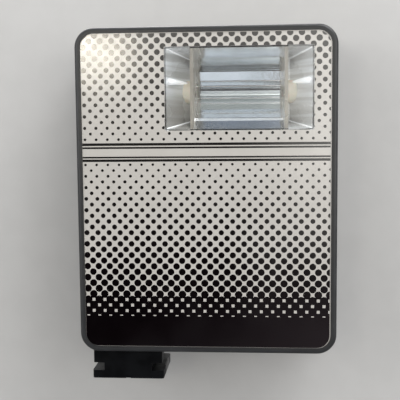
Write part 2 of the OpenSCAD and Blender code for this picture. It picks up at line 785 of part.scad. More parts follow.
// Dipped capacitor: a flat pill that stands on its side
module trigger_capacitor() color([0.75, 0.3, 0.12]) in_part() on_board(coil_x, second_row)
  translate([0, -pill_r, -pill_w / 2]) linear_extrude(pill_w) {
    for (side = [-1, 1]) translate([side * pill_w / 2, 0]) circle(pill_r);
    square([pill_w, 2 * pill_r], center = true);
  }

// Transistor with one flat side, towards the front
module switching_transistor() color([0.1, 0.1, 0.11]) in_part() on_board(part_x, core_z)
  difference() {
    translate([0, -transistor_r, 0]) cylinder(r = transistor_r, h = 2 * transistor_r, center = true);
    block([-transistor_r, -2 * transistor_r - 1, -transistor_r - 1],
      [transistor_r, -transistor_r * 3 / 2, transistor_r + 1]);
  }

module diode() color([0.15, 0.15, 0.16]) in_part() on_board(part_x, second_row)
  translate([0, -diode_r, 0]) {
    rod_x(diode_r, diode_l);
    rod_x(lead_r, diode_span);
    legs(diode_span - 2 * lead_r, diode_r, lead_r);
  }

module resistors() color([0.78, 0.66, 0.48]) in_part() for (i = [0 : resistor_count - 1])
  on_board(window_x + (i - (resistor_count - 1) / 2) * resistor_pitch, resistor_z)
    translate([0, -resistor_r, 0]) rotate([0, 90, 0]) {
      rod_x(resistor_r, resistor_l);
      rod_x(lead_r, resistor_span);
      legs(resistor_span - 2 * lead_r, resistor_r, lead_r);
    }

module wires() color([0.7, 0.1, 0.1]) in_part() {
  // From the tube's two leads to the board
  for (side = [-1, 1]) {
    x = window_x + side * (tube_half + lead_out + joint_r);
    wire([[x, tube_y, window_z], [x, (tube_y + wire_y) / 2, window_z - wire_drop / 2],
      [x, wire_y, window_z - wire_drop]], wire_r);
  }
  // From the capacitor's two lugs to the board
  for (side = [-1, 1]) {
    x = cap_x + side * cap_pitch / 2;
    wire([[x, cap_y, cap_z - lug_l - joint_r], [x, wire_y, cap_z - lug_l - 2]], wire_r);
  }
}

module neon_lamp() color([0.9, 0.55, 0.35, 0.6]) in_part() translate([-lamp_x, neon_y, control_z]) {
  rod_x(neon_r, neon_l);
  for (side = [-1, 1]) translate([side * neon_l / 2, 0, 0]) {
    sphere(neon_r);
    rod_y(lead_r, board_back - neon_y, 0);
  }
}

module ready_lens() color([0.95, 0.35, 0.1]) in_part() translate([-lamp_x, 0, control_z]) {
  rod_y(lamp_r, rear_in, body_d + lens_rim / 5);
  rod_y(lamp_r - lens_rim, body_d, body_d + lens_rim);
}

module switch_body() color([0.3, 0.3, 0.32]) in_part() translate([switch_x, 0, control_z]) difference() {
  block([-switch_w / 2, board_back, -switch_h / 2], [switch_w / 2, rear_in - slide_gap, switch_h / 2]);
  block([-(stem_w + switch_travel) / 2 - slide_gap, board_back + switch_floor, -stem_w / 2 - slide_gap],
    [(stem_w + switch_travel) / 2 + slide_gap, rear_in, stem_w / 2 + slide_gap]);
}

module test_contact() color([0.8, 0.65, 0.3]) in_part() translate([-button_x, board_back, control_z]) {
  block([-button_r, 0, -button_r / 2], [button_r, test_contact_t, button_r / 2]);
}

// Outline of the printed plate around the dial, made smaller by inset
module scale_outline(inset, y0, y1)
  translate([0, 0, dial_z])
    plate(2 * (scale_half_w - inset), 2 * (scale_half_h - inset), scale_r, y0, y1);

module scale_plate() color([0.75, 0.75, 0.74]) in_part() difference() {
  scale_outline(panel_gap, body_d - scale_t, body_d);
  translate([0, 0, dial_z]) rod_y(seat_r, body_d - 1, body_d + 1);
  for (s = screw_spots) translate([s[0], 0, s[1]]) rod_y(head_r + 2 * head_gap, body_d - 1, body_d + 1);
}

module dial_rivet() color([0.75, 0.75, 0.77]) in_part() translate([0, 0, dial_z]) {
  rod_y(rivet_r, rear_in - rivet_tail, dial_y + dial_t + dial_bore_play);
  rod_y(rivet_r + rivet_head, dial_y + dial_t + dial_bore_play, dial_y + dial_t + rivet_head_h);
  rod_y(rivet_r + rivet_head_h, rear_in - rivet_tail - rivet_head_h, rear_in - rivet_tail);
}

module casing_screws() color([0.62, 0.62, 0.64]) in_part()
  for (s = screw_spots) translate([s[0], 0, s[1]]) difference() {
    union() {
      rod_y(screw_r, post_y + screw_end, body_d - head_h);
      rod_y(head_r, body_d - head_h - head_gap, body_d - head_gap);
    }
    for (turn = [0, 90]) rotate([0, turn, 0])
      block([-slot_l / 2, body_d - head_gap - slot_h, -slot_w / 2], [slot_l / 2, body_d, slot_w / 2]);
  }

module foot() color([0.06, 0.06, 0.065]) in_part() translate([foot_x, foot_front, 0]) difference() {
  union() {
    translate([0, 0, -foot_drop]) linear_extrude(plate_t) translate([-plate_w / 2, 0])
      rounded_square(plate_w, plate_l, plate_r);
    block([-neck_w / 2, 0, -foot_drop + plate_t - eps], [neck_w / 2, neck_l, neck_top]);
    block([-tongue_w / 2, 0, neck_top], [tongue_w / 2, tongue_t, tongue_in]);
  }
  // Centre contact's seat, earth strip's seat and the moulding nick on the front edge
  translate([0, plate_l / 2, -foot_drop - 1]) cylinder(r = contact_r, h = 1 + contact_sink + contact_h);
  translate([0, plate_l / 2, -foot_drop]) cylinder(r = contact_r * pin_share, h = plate_t + rail_gap + 1);
  block([plate_w / 2 - strip_t, strip_front, -foot_drop - 1],
    [plate_w / 2 + 1, plate_l - strip_back, -foot_drop + plate_t + 1]);
  block([-nick_w / 2, -1, -foot_drop - 1], [nick_w / 2, nick_h, -foot_drop + nick_h]);
}

module foot_contact() color([0.8, 0.65, 0.3]) in_part()
  translate([foot_x, foot_y, -foot_drop + contact_sink]) {
    cylinder(r = contact_r, h = contact_h);
    cylinder(r = contact_r * pin_share, h = plate_t + rail_gap - contact_sink);
  }

module foot_earth_strip() color([0.7, 0.7, 0.72]) in_part() translate([foot_x, foot_front, -foot_drop])
  block([plate_w / 2 - strip_t, strip_front, 0], [plate_w / 2, plate_l - strip_back, plate_t]);

module battery_door() color([0.2, 0.2, 0.21]) in_part() difference() {
  union() {
    block([-door_w / 2, rear_in, hinge_z], [door_w / 2, body_d, door_top]);
    for (i = [0, 1]) translate([(lug_xs[i] + lug_xs[i + 1]) / 2, hinge_y, hinge_z])
      rod_x(knuckle_r, lug_xs[i + 1] - lug_xs[i] - lug_w - 2 * door_gap);
    for (i = [0 : door_ribs - 1]) translate([0, 0, door_top - rib_edge - i * rib_pitch])
      block([-rib_half, body_d - eps, -rib_t], [rib_half, body_d + rib_h, 0]);
  }
  for (x = lug_xs) translate([x, hinge_y, hinge_z]) rod_x(knuckle_r + door_gap, lug_w + 2 * door_gap);
  translate([0, hinge_y, hinge_z]) rod_x(pin_r + pin_play, door_w + 1);
}

// Foam pad inside the door that steadies the cells
module door_pad() color([0.35, 0.35, 0.36]) in_part()
  block([-pad_half, pad_front, cells_z + pad_edge], [pad_half, rear_in, cells_z + cell_pitch - pad_edge]);

module calculator_dial() color([0.13, 0.13, 0.14]) in_part() translate([0, 0, dial_z]) difference() {
  union() {
    rod_y(dial_r, dial_y + dial_lift, dial_y + dial_t);
    rod_y(dial_r - dial_rim, dial_y + dial_t - eps, dial_y + dial_t + dial_step);
  }
  rod_y(rivet_r + dial_bore_play, dial_y - 1, body_d + dial_t + 1);
  rod_y(rivet_r + rivet_head + rivet_head_h, dial_y + dial_t, body_d + dial_t + 1);
  for (i = [0 : dial_notches - 1]) rotate([0, i * 360 / dial_notches, 0])
    translate([dial_r + notch_out, 0, 0]) rod_y(notch_r, dial_y, body_d + dial_t + 1);
}

module switch_knob() color([0.1, 0.1, 0.11]) in_part()
  translate([switch_x - switch_travel / 2, 0, control_z]) difference() {
    union() {
      plate(knob_w, knob_w, 0.5, knob_y + knob_lift, body_d + knob_out);
      block([-stem_w / 2, board_back + switch_floor + knob_groove, -stem_w / 2],
        [stem_w / 2, knob_y + 2 * knob_lift, stem_w / 2]);
    }
    for (i = [-2 : 2]) translate([i * knob_pitch, 0, 0])
      block([-knob_groove / 2, body_d + knob_out - knob_groove, -knob_w],
        [knob_groove / 2, body_d + knob_out + 1, knob_w]);
  }

module test_button() color([0.75, 0.75, 0.76]) in_part() translate([-button_x, 0, control_z]) {
  rod_y(button_r, rear_in - flange_t, body_d + button_out);
  rod_y(button_r + button_flange, rear_in - button_rest - flange_t, rear_in - button_rest);
}

module test_spring() color([0.7, 0.7, 0.72]) in_part() translate([-button_x, 0, control_z])
  for (i = [0 : spring_turns - 1]) translate([0, spring_from + i * spring_pitch, 0])
    rotate([90, 0, 0]) rotate_extrude() translate([spring_r, 0]) circle(spring_wire, $fn = 24);

front_shell();
rear_shell();
front_panel();
flash_window();
reflector();
reflector_cheeks();
flash_tube();
tube_electrodes();
tube_sleeves();
battery_box();
battery_cells();
battery_contacts();
hinge_pin();
foot_guide();
detent_spring();
main_capacitor();
capacitor_seal();
circuit_board();
transformer_core();
transformer_winding();
trigger_coil();
trigger_capacitor();
switching_transistor();
diode();
resistors();
wires();
neon_lamp();
ready_lens();
switch_body();
test_contact();
scale_plate();
dial_rivet();
casing_screws();
foot();
foot_contact();
foot_earth_strip();
battery_door();
door_pad();
calculator_dial();
switch_knob();
test_button();
test_spring();
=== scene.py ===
"""Looks of a pocket electronic flash gun, built around its packed construction model.

Every sub-assembly is a class that finishes its own pieces and adds what is printed,
wound or stuffed. All sizes are millimetres until they reach a mesh.
"""

import logging
import math
from dataclasses import dataclass
from enum import Enum
from functools import cache, reduce

import bmesh
import bpy
from mathutils import Matrix, Vector


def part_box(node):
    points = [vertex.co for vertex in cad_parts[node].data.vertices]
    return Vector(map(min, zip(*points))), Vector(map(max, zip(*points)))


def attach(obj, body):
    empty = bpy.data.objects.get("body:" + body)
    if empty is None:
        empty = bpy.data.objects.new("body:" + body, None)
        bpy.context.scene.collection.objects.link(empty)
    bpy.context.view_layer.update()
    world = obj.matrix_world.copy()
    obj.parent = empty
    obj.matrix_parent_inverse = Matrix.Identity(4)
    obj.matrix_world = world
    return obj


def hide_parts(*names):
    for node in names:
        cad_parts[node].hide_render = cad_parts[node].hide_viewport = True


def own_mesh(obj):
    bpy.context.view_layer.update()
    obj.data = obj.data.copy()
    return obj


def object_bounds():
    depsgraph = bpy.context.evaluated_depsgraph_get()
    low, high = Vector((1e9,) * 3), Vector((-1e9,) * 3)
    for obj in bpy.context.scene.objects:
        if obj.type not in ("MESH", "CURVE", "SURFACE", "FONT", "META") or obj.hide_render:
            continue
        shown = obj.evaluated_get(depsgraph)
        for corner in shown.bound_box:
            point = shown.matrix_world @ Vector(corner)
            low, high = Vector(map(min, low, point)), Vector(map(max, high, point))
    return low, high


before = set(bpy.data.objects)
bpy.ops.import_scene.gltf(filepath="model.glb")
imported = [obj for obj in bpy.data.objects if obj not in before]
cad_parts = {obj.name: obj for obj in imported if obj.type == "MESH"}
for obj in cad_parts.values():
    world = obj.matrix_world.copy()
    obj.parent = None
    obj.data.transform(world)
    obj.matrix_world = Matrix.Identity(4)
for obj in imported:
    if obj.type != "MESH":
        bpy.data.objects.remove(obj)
cad_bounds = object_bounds()

MM = 0.001
MERGE = 1e-7
Rgb = tuple[float, float, float]
Pair = tuple[float, float]
Triple = tuple[float, float, float]
Socket = bpy.types.NodeSocket
Piece = bpy.types.Object
Work = bmesh.types.BMesh
log = logging.getLogger("flash_gun")


class Body(Enum):
    """Bodies that added pieces move with."""

    CASING = "casing"
    DOOR = "battery_door"
    DIAL = "calculator_dial"


class Axis(Enum):
    """Axis along which bands or ribs follow each other, with its number."""

    X = 0
    Z = 2


def span(node: str) -> tuple[Vector, Vector]:
    """Returns the lowest and highest corner of a construction piece, in millimetres."""
    low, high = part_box(node)
    return Vector(low) / MM, Vector(high) / MM


def link(piece: Piece) -> Piece:
    """Puts an object into the scene and returns it."""
    bpy.context.scene.collection.objects.link(piece)
    return piece


def meshed(work: Work, name: str, smooth: bool = False) -> Piece:
    """Makes an object of a mesh that is done.

    Args:
        work: the mesh, which this frees.
        name: name of the piece.
        smooth: whether its faces are shaded smooth.

    Returns:
        The piece.
    """
    mesh = bpy.data.meshes.new(name)
    work.to_mesh(mesh)
    work.free()
    if smooth:
        mesh.shade_smooth()
    return link(bpy.data.objects.new(name, mesh))


def closed(work: Work, name: str, smooth: bool = False) -> Piece:
    """Turns the faces of a closed mesh outwards and makes an object of it.

    Args:
        work: the mesh, which this frees.
        name: name of the piece.
        smooth: whether its faces are shaded smooth.

    Returns:
        The piece.
    """
    bmesh.ops.remove_doubles(work, verts=work.verts, dist=MERGE)
    bmesh.ops.recalc_face_normals(work, faces=work.faces)
    return meshed(work, name, smooth)


def evaluated(holder: Piece) -> bpy.types.Mesh:
    """Turns a maker object into the plain mesh that it evaluates to.

    Args:
        holder: the maker object.

    Returns:
        Its mesh.
    """
    mesh = bpy.data.meshes.new_from_object(holder.evaluated_get(bpy.context.evaluated_depsgraph_get()))
    bpy.data.objects.remove(holder)
    return mesh


def walls(work: Work, rings: list[list[bmesh.types.BMVert]], capped: bool = True) -> None:
    """Joins rings of corners with faces, one after another, and closes both ends if asked to.

    Args:
        work: mesh that gets the faces.
        rings: corners of each ring, in one order.
        capped: whether the first and the last ring get a face.
    """
    for one, other in zip(rings, rings[1:]):
        for i in range(len(one)):
            j = (i + 1) % len(one)
            work.faces.new((one[i], one[j], other[j], other[i]))
    if capped:
        work.faces.new(rings[0])
        work.faces.new(rings[-1])


def flat(name: str, outlines: list[list[Pair]], depth: float) -> Piece:
    """Makes flat printed shapes that look out of the front.

    Args:
        name: name of the piece.
        outlines: corners of each shape, as x and z.
        depth: place of all the shapes along Y.

    Returns:
        The piece.
    """
    work = bmesh.new()
    for outline in outlines:
        work.faces.new([work.verts.new((x * MM, depth * MM, z * MM)) for x, z in outline])
    bmesh.ops.triangulate(work, faces=[face for face in work.faces if len(face.verts) > 4])
    work.normal_update()
    for face in work.faces:
        if face.normal.y > 0:
            face.normal_flip()
    return meshed(work, name)


# ---------------------------------------------------------------- node trees


def rgba(value: object) -> object:
    """Returns a plain colour with its fourth part, and anything else as it is."""
    return (*value, 1.0) if isinstance(value, tuple) and len(value) == 3 else value


class Graph:
    """Adds nodes to one tree and links them."""

    def __init__(self, tree: bpy.types.NodeTree) -> None:
        """Keeps the tree that this graph adds to."""
        self.tree = tree

    def add(self, kind: str, inputs: dict | None = None, **settings: object) -> bpy.types.Node:
        """Adds one node.

        Args:
            kind: type of the node.
            inputs: value or output for each input, by name or number.
            **settings: properties of the node.

        Returns:
            The new node.
        """
        node = self.tree.nodes.new(kind)
        for name, value in settings.items():
            setattr(node, name, value)
        for key, value in (inputs or {}).items():
            if isinstance(value, Socket):
                self.tree.links.new(value, node.inputs[key])
            else:
                node.inputs[key].default_value = value
        return node

    def out(self, kind: str, inputs: dict | None = None, **settings: object) -> Socket:
        """Adds one node and returns its first output."""
        return self.add(kind, inputs, **settings).outputs[0]

    def geo(self, kind: str, inputs: dict | None = None, **settings: object) -> Socket:
        """Adds one Geometry node and returns its first output."""
        return self.out("GeometryNode" + kind, inputs, **settings)

    def math(self, operation: str, *values: object) -> Socket:
        """Returns the output of a Math node."""
        return self.out("ShaderNodeMath", dict(enumerate(values)), operation=operation)

    def times(self, *values: object) -> Socket:
        """Returns the product of some numbers."""
        return reduce(lambda first, second: self.math("MULTIPLY", first, second), values)

    def minus(self, *values: object) -> Socket:
        """Returns a number less all that follow it."""
        return reduce(lambda first, second: self.math("SUBTRACT", first, second), values)

    def vector(self, operation: str, *values: object) -> Socket:
        """Returns the vector output of a Vector Math node."""
        return self.out("ShaderNodeVectorMath", dict(enumerate(values)), operation=operation)

    def measure(self, operation: str, *values: object) -> Socket:
        """Returns the number that a Vector Math node measures."""
        return self.add("ShaderNodeVectorMath", dict(enumerate(values)), operation=operation).outputs["Value"]

    def scaled(self, vector: object, factor: object) -> Socket:
        """Returns a vector times a number."""
        return self.out("ShaderNodeVectorMath", {0: vector, "Scale": factor}, operation="SCALE")

    def parts(self, vector: object) -> list[Socket]:
        """Returns the three parts of a vector."""
        return list(self.add("ShaderNodeSeparateXYZ", {0: vector}).outputs)

    def joined(self, x: object, y: object, z: object) -> Socket:
        """Returns a vector made of three numbers."""
        return self.out("ShaderNodeCombineXYZ", {0: x, 1: y, 2: z})

    def place(self, space: str = "Object") -> Socket:
        """Returns the place that is shaded, in the frame's own coordinates unless told otherwise."""
        return self.add("ShaderNodeTexCoord").outputs[space]

    def noise(self, place: object, scale: object, detail: float = 2.0) -> Socket:
        """Returns the value of a noise texture."""
        return self.out("ShaderNodeTexNoise", {"Vector": place, "Scale": scale, "Detail": detail})

    def ramp(self, value: object, low: object, high: object, to_low: object = 0.0, to_high: object = 1.0,
             shape: str = "SMOOTHSTEP") -> Socket:
        """Returns a value carried smoothly from one range to another.

        Args:
            value: what is carried.
            low: start of the first range.
            high: end of the first range.
            to_low: result at low.
            to_high: result at high.
            shape: interpolation of the Map Range node.

        Returns:
            The carried value.
        """
        inputs = dict(enumerate((value, low, high, to_low, to_high)))
        return self.out("ShaderNodeMapRange", inputs, interpolation_type=shape)

    def mixed(self, share: object, first: object, second: object) -> Socket:
        """Returns a mix of two colours."""
        return self.add("ShaderNodeMix", {0: share, 6: rgba(first), 7: rgba(second)}, data_type="RGBA").outputs[2]

    def group(self, tree: bpy.types.NodeTree, **values: object) -> bpy.types.bpy_prop_collection:
        """Adds a shader group with the values given, and returns its outputs."""
        return self.add("ShaderNodeGroup", values, node_tree=tree).outputs


def blank(owner: bpy.types.ID) -> Graph:
    """Empties the node tree of a material or world and returns its graph.

    Args:
        owner: the material or world.

    Returns:
        The graph of its empty tree.
    """
    owner.use_nodes = True
    owner.node_tree.nodes.clear()
    return Graph(owner.node_tree)


def shared(name: str, inputs: dict[str, str], outputs: dict[str, str]) -> tuple:
    """Starts a shader group that several finishes use.

    Args:
        name: name of the group.
        inputs: kind of each input socket, by its name.
        outputs: kind of each output socket, by its name.

    Returns:
        The graph, the sockets that hold the inputs, and those that take the outputs.
    """
    tree = bpy.data.node_groups.new(name, "ShaderNodeTree")
    for side, sockets in (("INPUT", inputs), ("OUTPUT", outputs)):
        for socket, kind in sockets.items():
            tree.interface.new_socket(socket, in_out=side, socket_type="NodeSocket" + kind)
    return Graph(tree), tree.nodes.new("NodeGroupInput").outputs, tree.nodes.new("NodeGroupOutput").inputs


@cache
def surface_grain() -> bpy.types.NodeTree:
    """Moulded or cast grain: a fine height and a slow drift of tone.

    Returns:
        The shader group.
    """
    graph, given, result = shared("surface_grain", {"Place": "Vector", "Grain": "Float", "Drift": "Float"},
                                  {"Height": "Float", "Tone": "Float"})
    detail, middle_tones = 3.0, (0.35, 0.65)
    fine, slow = (graph.noise(given["Place"], given[name], detail) for name in ("Grain", "Drift"))
    graph.tree.links.new(fine, result["Height"])
    graph.tree.links.new(graph.ramp(slow, *middle_tones), result["Tone"])
    return graph.tree


@cache
def edge_wear() -> bpy.types.NodeTree:
    """Wear along the outer edges of a box: 1 where two of its faces are near.

    Returns:
        The shader group.
    """
    graph, given, result = shared(
        "edge_wear", {"Place": "Vector", "Low": "Vector", "High": "Vector", "Width": "Float", "Breakup": "Float"},
        {"Mask": "Float"})
    detail, worn_spots = 4.0, (0.42, 0.62)
    inward = graph.vector("MINIMUM", graph.vector("SUBTRACT", given["Place"], given["Low"]),
                          graph.vector("SUBTRACT", given["High"], given["Place"]))
    a, b, c = graph.parts(inward)
    second = graph.math("MAXIMUM", graph.math("MINIMUM", a, b),
                        graph.math("MINIMUM", graph.math("MAXIMUM", a, b), c))
    near = graph.ramp(second, 0.0, given["Width"], 1.0, 0.0)
    broken = graph.ramp(graph.noise(given["Place"], given["Breakup"], detail), *worn_spots)
    graph.tree.links.new(graph.times(near, broken), result["Mask"])
    return graph.tree


@cache
def fine_scratches() -> bpy.types.NodeTree:
    """Fine straight scratches in one direction across the front.

    Returns:
        The shader group.
    """
    graph, given, result = shared(
        "fine_scratches", {"Place": "Vector", "Scale": "Float", "Turn": "Float", "Width": "Float"},
        {"Mask": "Float"})
    stretch, detail, centre_line = (1.0, 1.0, 0.045), 1.0, 0.5
    patch_scale, scratched_spots = 0.16, (0.56, 0.7)
    turned = graph.out("ShaderNodeMapping", {"Vector": given["Place"], "Scale": stretch,
                                             "Rotation": graph.joined(0.0, given["Turn"], 0.0)})
    line = graph.math("ABSOLUTE", graph.minus(graph.noise(turned, given["Scale"], detail), centre_line))
    thin = graph.ramp(line, 0.0, given["Width"], 1.0, 0.0)
    patches = graph.noise(given["Place"], graph.times(given["Scale"], patch_scale))
    rare = graph.ramp(patches, *scratched_spots)
    graph.tree.links.new(graph.times(thin, rare), result["Mask"])
    return graph.tree


# ---------------------------------------------------------------- finishes


@dataclass(frozen=True)
class Finish:
    """Look of one moulded, cast, rolled or printed surface."""

    name: str
    slot: str
    color: Rgb
    tone: Rgb
    roughness: float = 0.5
    spread: float = 0.1
    grain: float = 6.0
    depth: float = 0.004
    drift: float = 0.12
    metallic: float = 0.0
    specular: float = 0.5
    coat: float = 0.0
    coat_roughness: float = 0.2
    subsurface: float = 0.0
    bleed: float = 1.5
    sheen: float = 0.0
    glow: float = 0.0
    wear: float = 0.0
    wear_width: float = 0.8
    wear_breakup: float = 4.0
    wear_gloss: float = 0.1
    worn: Rgb = (0.3, 0.3, 0.3)
    scratch: float = 0.0
    scratched: Rgb = (0.3, 0.3, 0.3)
    scratch_width: float = 0.006
    scratch_ways: tuple[Pair, ...] = ((0.5, 1.1), (-0.9, 0.8))

    def paint(self, graph: Graph, place: Socket, tone: Socket) -> Socket:
        """Returns the colour before wear and scratches."""
        return graph.mixed(tone, self.color, self.tone)

    def height(self, graph: Graph, place: Socket, grain: Socket) -> Socket:
        """Returns the normal that the surface's relief gives."""
        return graph.out("ShaderNodeBump", {"Height": grain, "Distance": self.depth * MM})

    def levels(self) -> dict[str, float]:
        """Returns the shader's levels that are the same all over the surface.

        Returns:
            Each level, by the shader's name for it.
        """
        return {"Metallic": self.metallic, "Specular IOR Level": self.specular, "Coat Weight": self.coat,
                "Coat Roughness": self.coat_roughness, "Subsurface Weight": self.subsurface,
                "Subsurface Scale": self.bleed * MM, "Sheen Weight": self.sheen, "Emission Strength": self.glow}

    def shader(self, graph: Graph, low: Vector, high: Vector) -> Socket:
        """Builds the Principled shader with grain, wear and scratches.

        Args:
            graph: graph of the material.
            low: lowest corner of the box whose edges wear, in metres.
            high: highest corner of that box, in metres.

        Returns:
            The shader's output.
        """
        place = graph.place()
        grain = graph.group(surface_grain(), Place=place, Grain=self.grain / MM, Drift=self.drift / MM)
        tone = grain["Tone"]
        color = self.paint(graph, place, tone)
        roughness = graph.math("MULTIPLY_ADD", tone, self.spread, self.roughness - self.spread / 2)
        if self.wear:
            mask = graph.group(edge_wear(), Place=place, Low=tuple(low), High=tuple(high),
                               Width=self.wear_width * MM, Breakup=1 / (self.wear_breakup * MM))["Mask"]
            mask = graph.times(mask, self.wear)
            color = graph.mixed(mask, color, self.worn)
            roughness = graph.minus(roughness, graph.times(mask, self.wear_gloss))
        if self.scratch:
            for turn, scale in self.scratch_ways:
                mask = graph.group(fine_scratches(), Place=place, Scale=scale / MM, Turn=turn,
                                   Width=self.scratch_width)["Mask"]
                color = graph.mixed(graph.times(mask, self.scratch), color, self.scratched)
        inputs = {**self.levels(), "Base Color": color, "Roughness": roughness,
                  "Normal": self.height(graph, place, grain["Height"])}
        if self.glow:
            inputs["Emission Color"] = color
        return graph.out("ShaderNodeBsdfPrincipled", inputs)

    def surface(self, graph: Graph, low: Vector, high: Vector) -> Socket:
        """Returns what goes into the material's output."""
        return self.shader(graph, low, high)

    def material(self, low: Vector = Vector(), high: Vector = Vector()) -> bpy.types.Material:
        """Builds the material, or finds it once it is built.

        Args:
            low: lowest corner of the box whose edges wear, in metres.
            high: highest corner of that box, in metres.

        Returns:
            The material.
        """
        if self.name in bpy.data.materials:
            return bpy.data.materials[self.name]
        made = bpy.data.materials.new(self.name)
        graph = blank(made)
        graph.add("ShaderNodeOutputMaterial", {"Surface": self.surface(graph, low, high)})
        return made


@dataclass(frozen=True)
class Banded(Finish):
    """A surface with coloured bands that follow each other along one axis."""

    axis: Axis = Axis.X
    start: float = 0.0
    end: float = 1.0
    bands: tuple[tuple[float, Rgb], ...] = ()

    def paint(self, graph: Graph, place: Socket, tone: Socket) -> Socket:
        """Returns the colour of the band that a point lies in.

        Args:
            graph: graph of the material.
            place: the place that is shaded.
            tone: slow drift of tone, from 0 to 1.

        Returns:
            The colour.
        """
        along = graph.ramp(graph.parts(place)[self.axis.value], self.start * MM, self.end * MM, shape="LINEAR")
        color = graph.mixed(tone, self.color, self.tone)
        for share, band in self.bands:
            color = graph.mixed(graph.math("GREATER_THAN", along, share), color, band)
        return color


@dataclass(frozen=True)
class Ribbed(Finish):
    """A surface of wound wire, with its turns as fine ribs."""

    axis: Axis = Axis.Z
    ribs: float = 4.0
    rib_depth: float = 0.03

    def height(self, graph: Graph, place: Socket, grain: Socket) -> Socket:
        """Returns the normal with the ribs added to the grain.

        Args:
            graph: graph of the material.
            place: the place that is shaded.
            grain: fine height of the grain.

        Returns:
            The normal.
        """
        along = graph.times(graph.parts(place)[self.axis.value], 2 * math.pi * self.ribs / MM)
        return graph.out("ShaderNodeBump", {"Height": graph.math("SINE", along), "Distance": self.rib_depth * MM,
                                            "Normal": super().height(graph, place, grain)})


@dataclass(frozen=True)
class DrawnWithPaintedLight(Finish):
    """Metal with streaks that run across it, partly drawn grain and partly painted reflection bands, with painted
    shade towards the bottom and the left.
    """

    pitch: float = 1.6
    along: float = 0.03
    detail: float = 3.0
    streaks: Pair = (0.38, 0.62)
    # painted shade: dark colour mixed in towards the lower left of the bays, standing in for shade and for the dark
    # room that they reflect
    painted_shade: Rgb = (0.30, 0.285, 0.26)
    painted_shade_x: Pair = (10.0, 48.0)
    painted_shade_z: Pair = (69.0, 77.5)
    painted_shade_sides: Pair = (0.8, 0.35)

    def paint(self, graph: Graph, place: Socket, tone: Socket) -> Socket:
        """Returns streaks of the two colours, partly painted reflection bands, darkened by painted shade towards one
        corner.

        Args:
            graph: graph of the material.
            place: the place that is shaded.
            tone: not used.

        Returns:
            The colour.
        """
        across = graph.vector("MULTIPLY", place, (self.along, self.along, 1.0))
        streak = graph.ramp(graph.noise(across, 1 / (self.pitch * MM), self.detail), *self.streaks)
        x, _, z = graph.parts(place)
        low = graph.ramp(z, *(end * MM for end in self.painted_shade_z), 1.0, 0.0)
        left = graph.ramp(x, *(end * MM for end in self.painted_shade_x), *self.painted_shade_sides)
        # painted shade towards the lower left, over streaks that are partly painted reflection bands
        return graph.mixed(graph.times(low, left), graph.mixed(streak, self.tone, self.color), self.painted_shade)


@dataclass(frozen=True)
class Clear(Finish):
    """Clear or tinted glass and acrylic, which lets lamp light through to what it covers."""

    index: float = 1.49
    clearness: float = 1.0
    veil: Rgb = (0.96, 0.97, 0.98)

    def levels(self) -> dict[str, float]:
        """Returns the levels of a transparent shader."""
        return {**super().levels(), "Transmission Weight": self.clearness, "IOR": self.index}

    def surface(self, graph: Graph, low: Vector, high: Vector) -> Socket:
        """Returns the shader, which shadow and diffuse rays pass.

        Args:
            graph: graph of the material.
            low: lowest corner of the box whose edges wear, in metres.
            high: highest corner of that box, in metres.

        Returns:
            The shader.
        """
        rays = graph.add("ShaderNodeLightPath").outputs
        passing = graph.math("MAXIMUM", rays["Is Shadow Ray"], rays["Is Diffuse Ray"])
        veil = graph.out("ShaderNodeBsdfTransparent", {"Color": rgba(self.veil)})
        return graph.out("ShaderNodeMixShader", {0: passing, 1: self.shader(graph, low, high), 2: veil})


# ---------------------------------------------------------------- geometry trees


class GeometryTree:
    """One Geometry Nodes tree with named inputs, which makes plain meshes."""

    def __init__(self, name: str) -> None:
        """Starts a tree that has only its output.

        Args:
            name: name of the tree.
        """
        self.tree = bpy.data.node_groups.new(name, "GeometryNodeTree")
        self.tree.is_modifier = True
        self.graph = Graph(self.tree)
        self.given = self.tree.nodes.new("NodeGroupInput")
        self.tree.interface.new_socket("Geometry", in_out="OUTPUT", socket_type="NodeSocketGeometry")
        self.identifiers: dict[str, str] = {}

    def inputs(self, kind: str, *names: str) -> list[Socket]:
        """Adds named inputs of one kind and returns their sockets inside the tree.

        Args:
            kind: kind of all the inputs.
            *names: name of each input.

        Returns:
            The sockets, in the same order.
        """
        for name in names:
            item = self.tree.interface.new_socket(name, in_out="INPUT", socket_type="NodeSocket" + kind)
            self.identifiers[name] = item.identifier
        return [self.given.outputs[name] for name in names]

    def close(self, geometry: Socket) -> None:
        """Makes instances real, gives the geometry its material and sends it out.

        Args:
            geometry: what the tree makes.
        """
        material, = self.inputs("Material", "Material")
        real = self.graph.geo("RealizeInstances", {"Geometry": geometry})
        dressed = self.graph.geo("SetMaterial", {"Geometry": real, "Material": material})
        self.graph.add("NodeGroupOutput", {"Geometry": dressed})

    def piece(self, name: str, finish: Finish, plain: dict[str, object], lengths: dict[str, object]) -> Piece:
        """Runs the tree with the values given, and returns its result as a plain mesh object.

        Args:
            name: name of the new piece.
            finish: finish of the whole piece.
            plain: value of each input that is a number, a count or an angle, by the input's name.
            lengths: value of each input that is a length or a place, in millimetres.

        Returns:
            The piece, at the origin, with no modifier.
        """
        holder = link(bpy.data.objects.new(name + "_maker", bpy.data.meshes.new(name + "_maker")))
        modifier = holder.modifiers.new(name, "NODES")
        modifier.node_group = self.tree
        values = {**plain, **{key: value * MM for key, value in lengths.items()}, "Material": finish.material()}
        for key, value in values.items():
            modifier[self.identifiers[key]] = value
        mesh = evaluated(holder)
        mesh.name = name
        return link(bpy.data.objects.new(name, mesh))


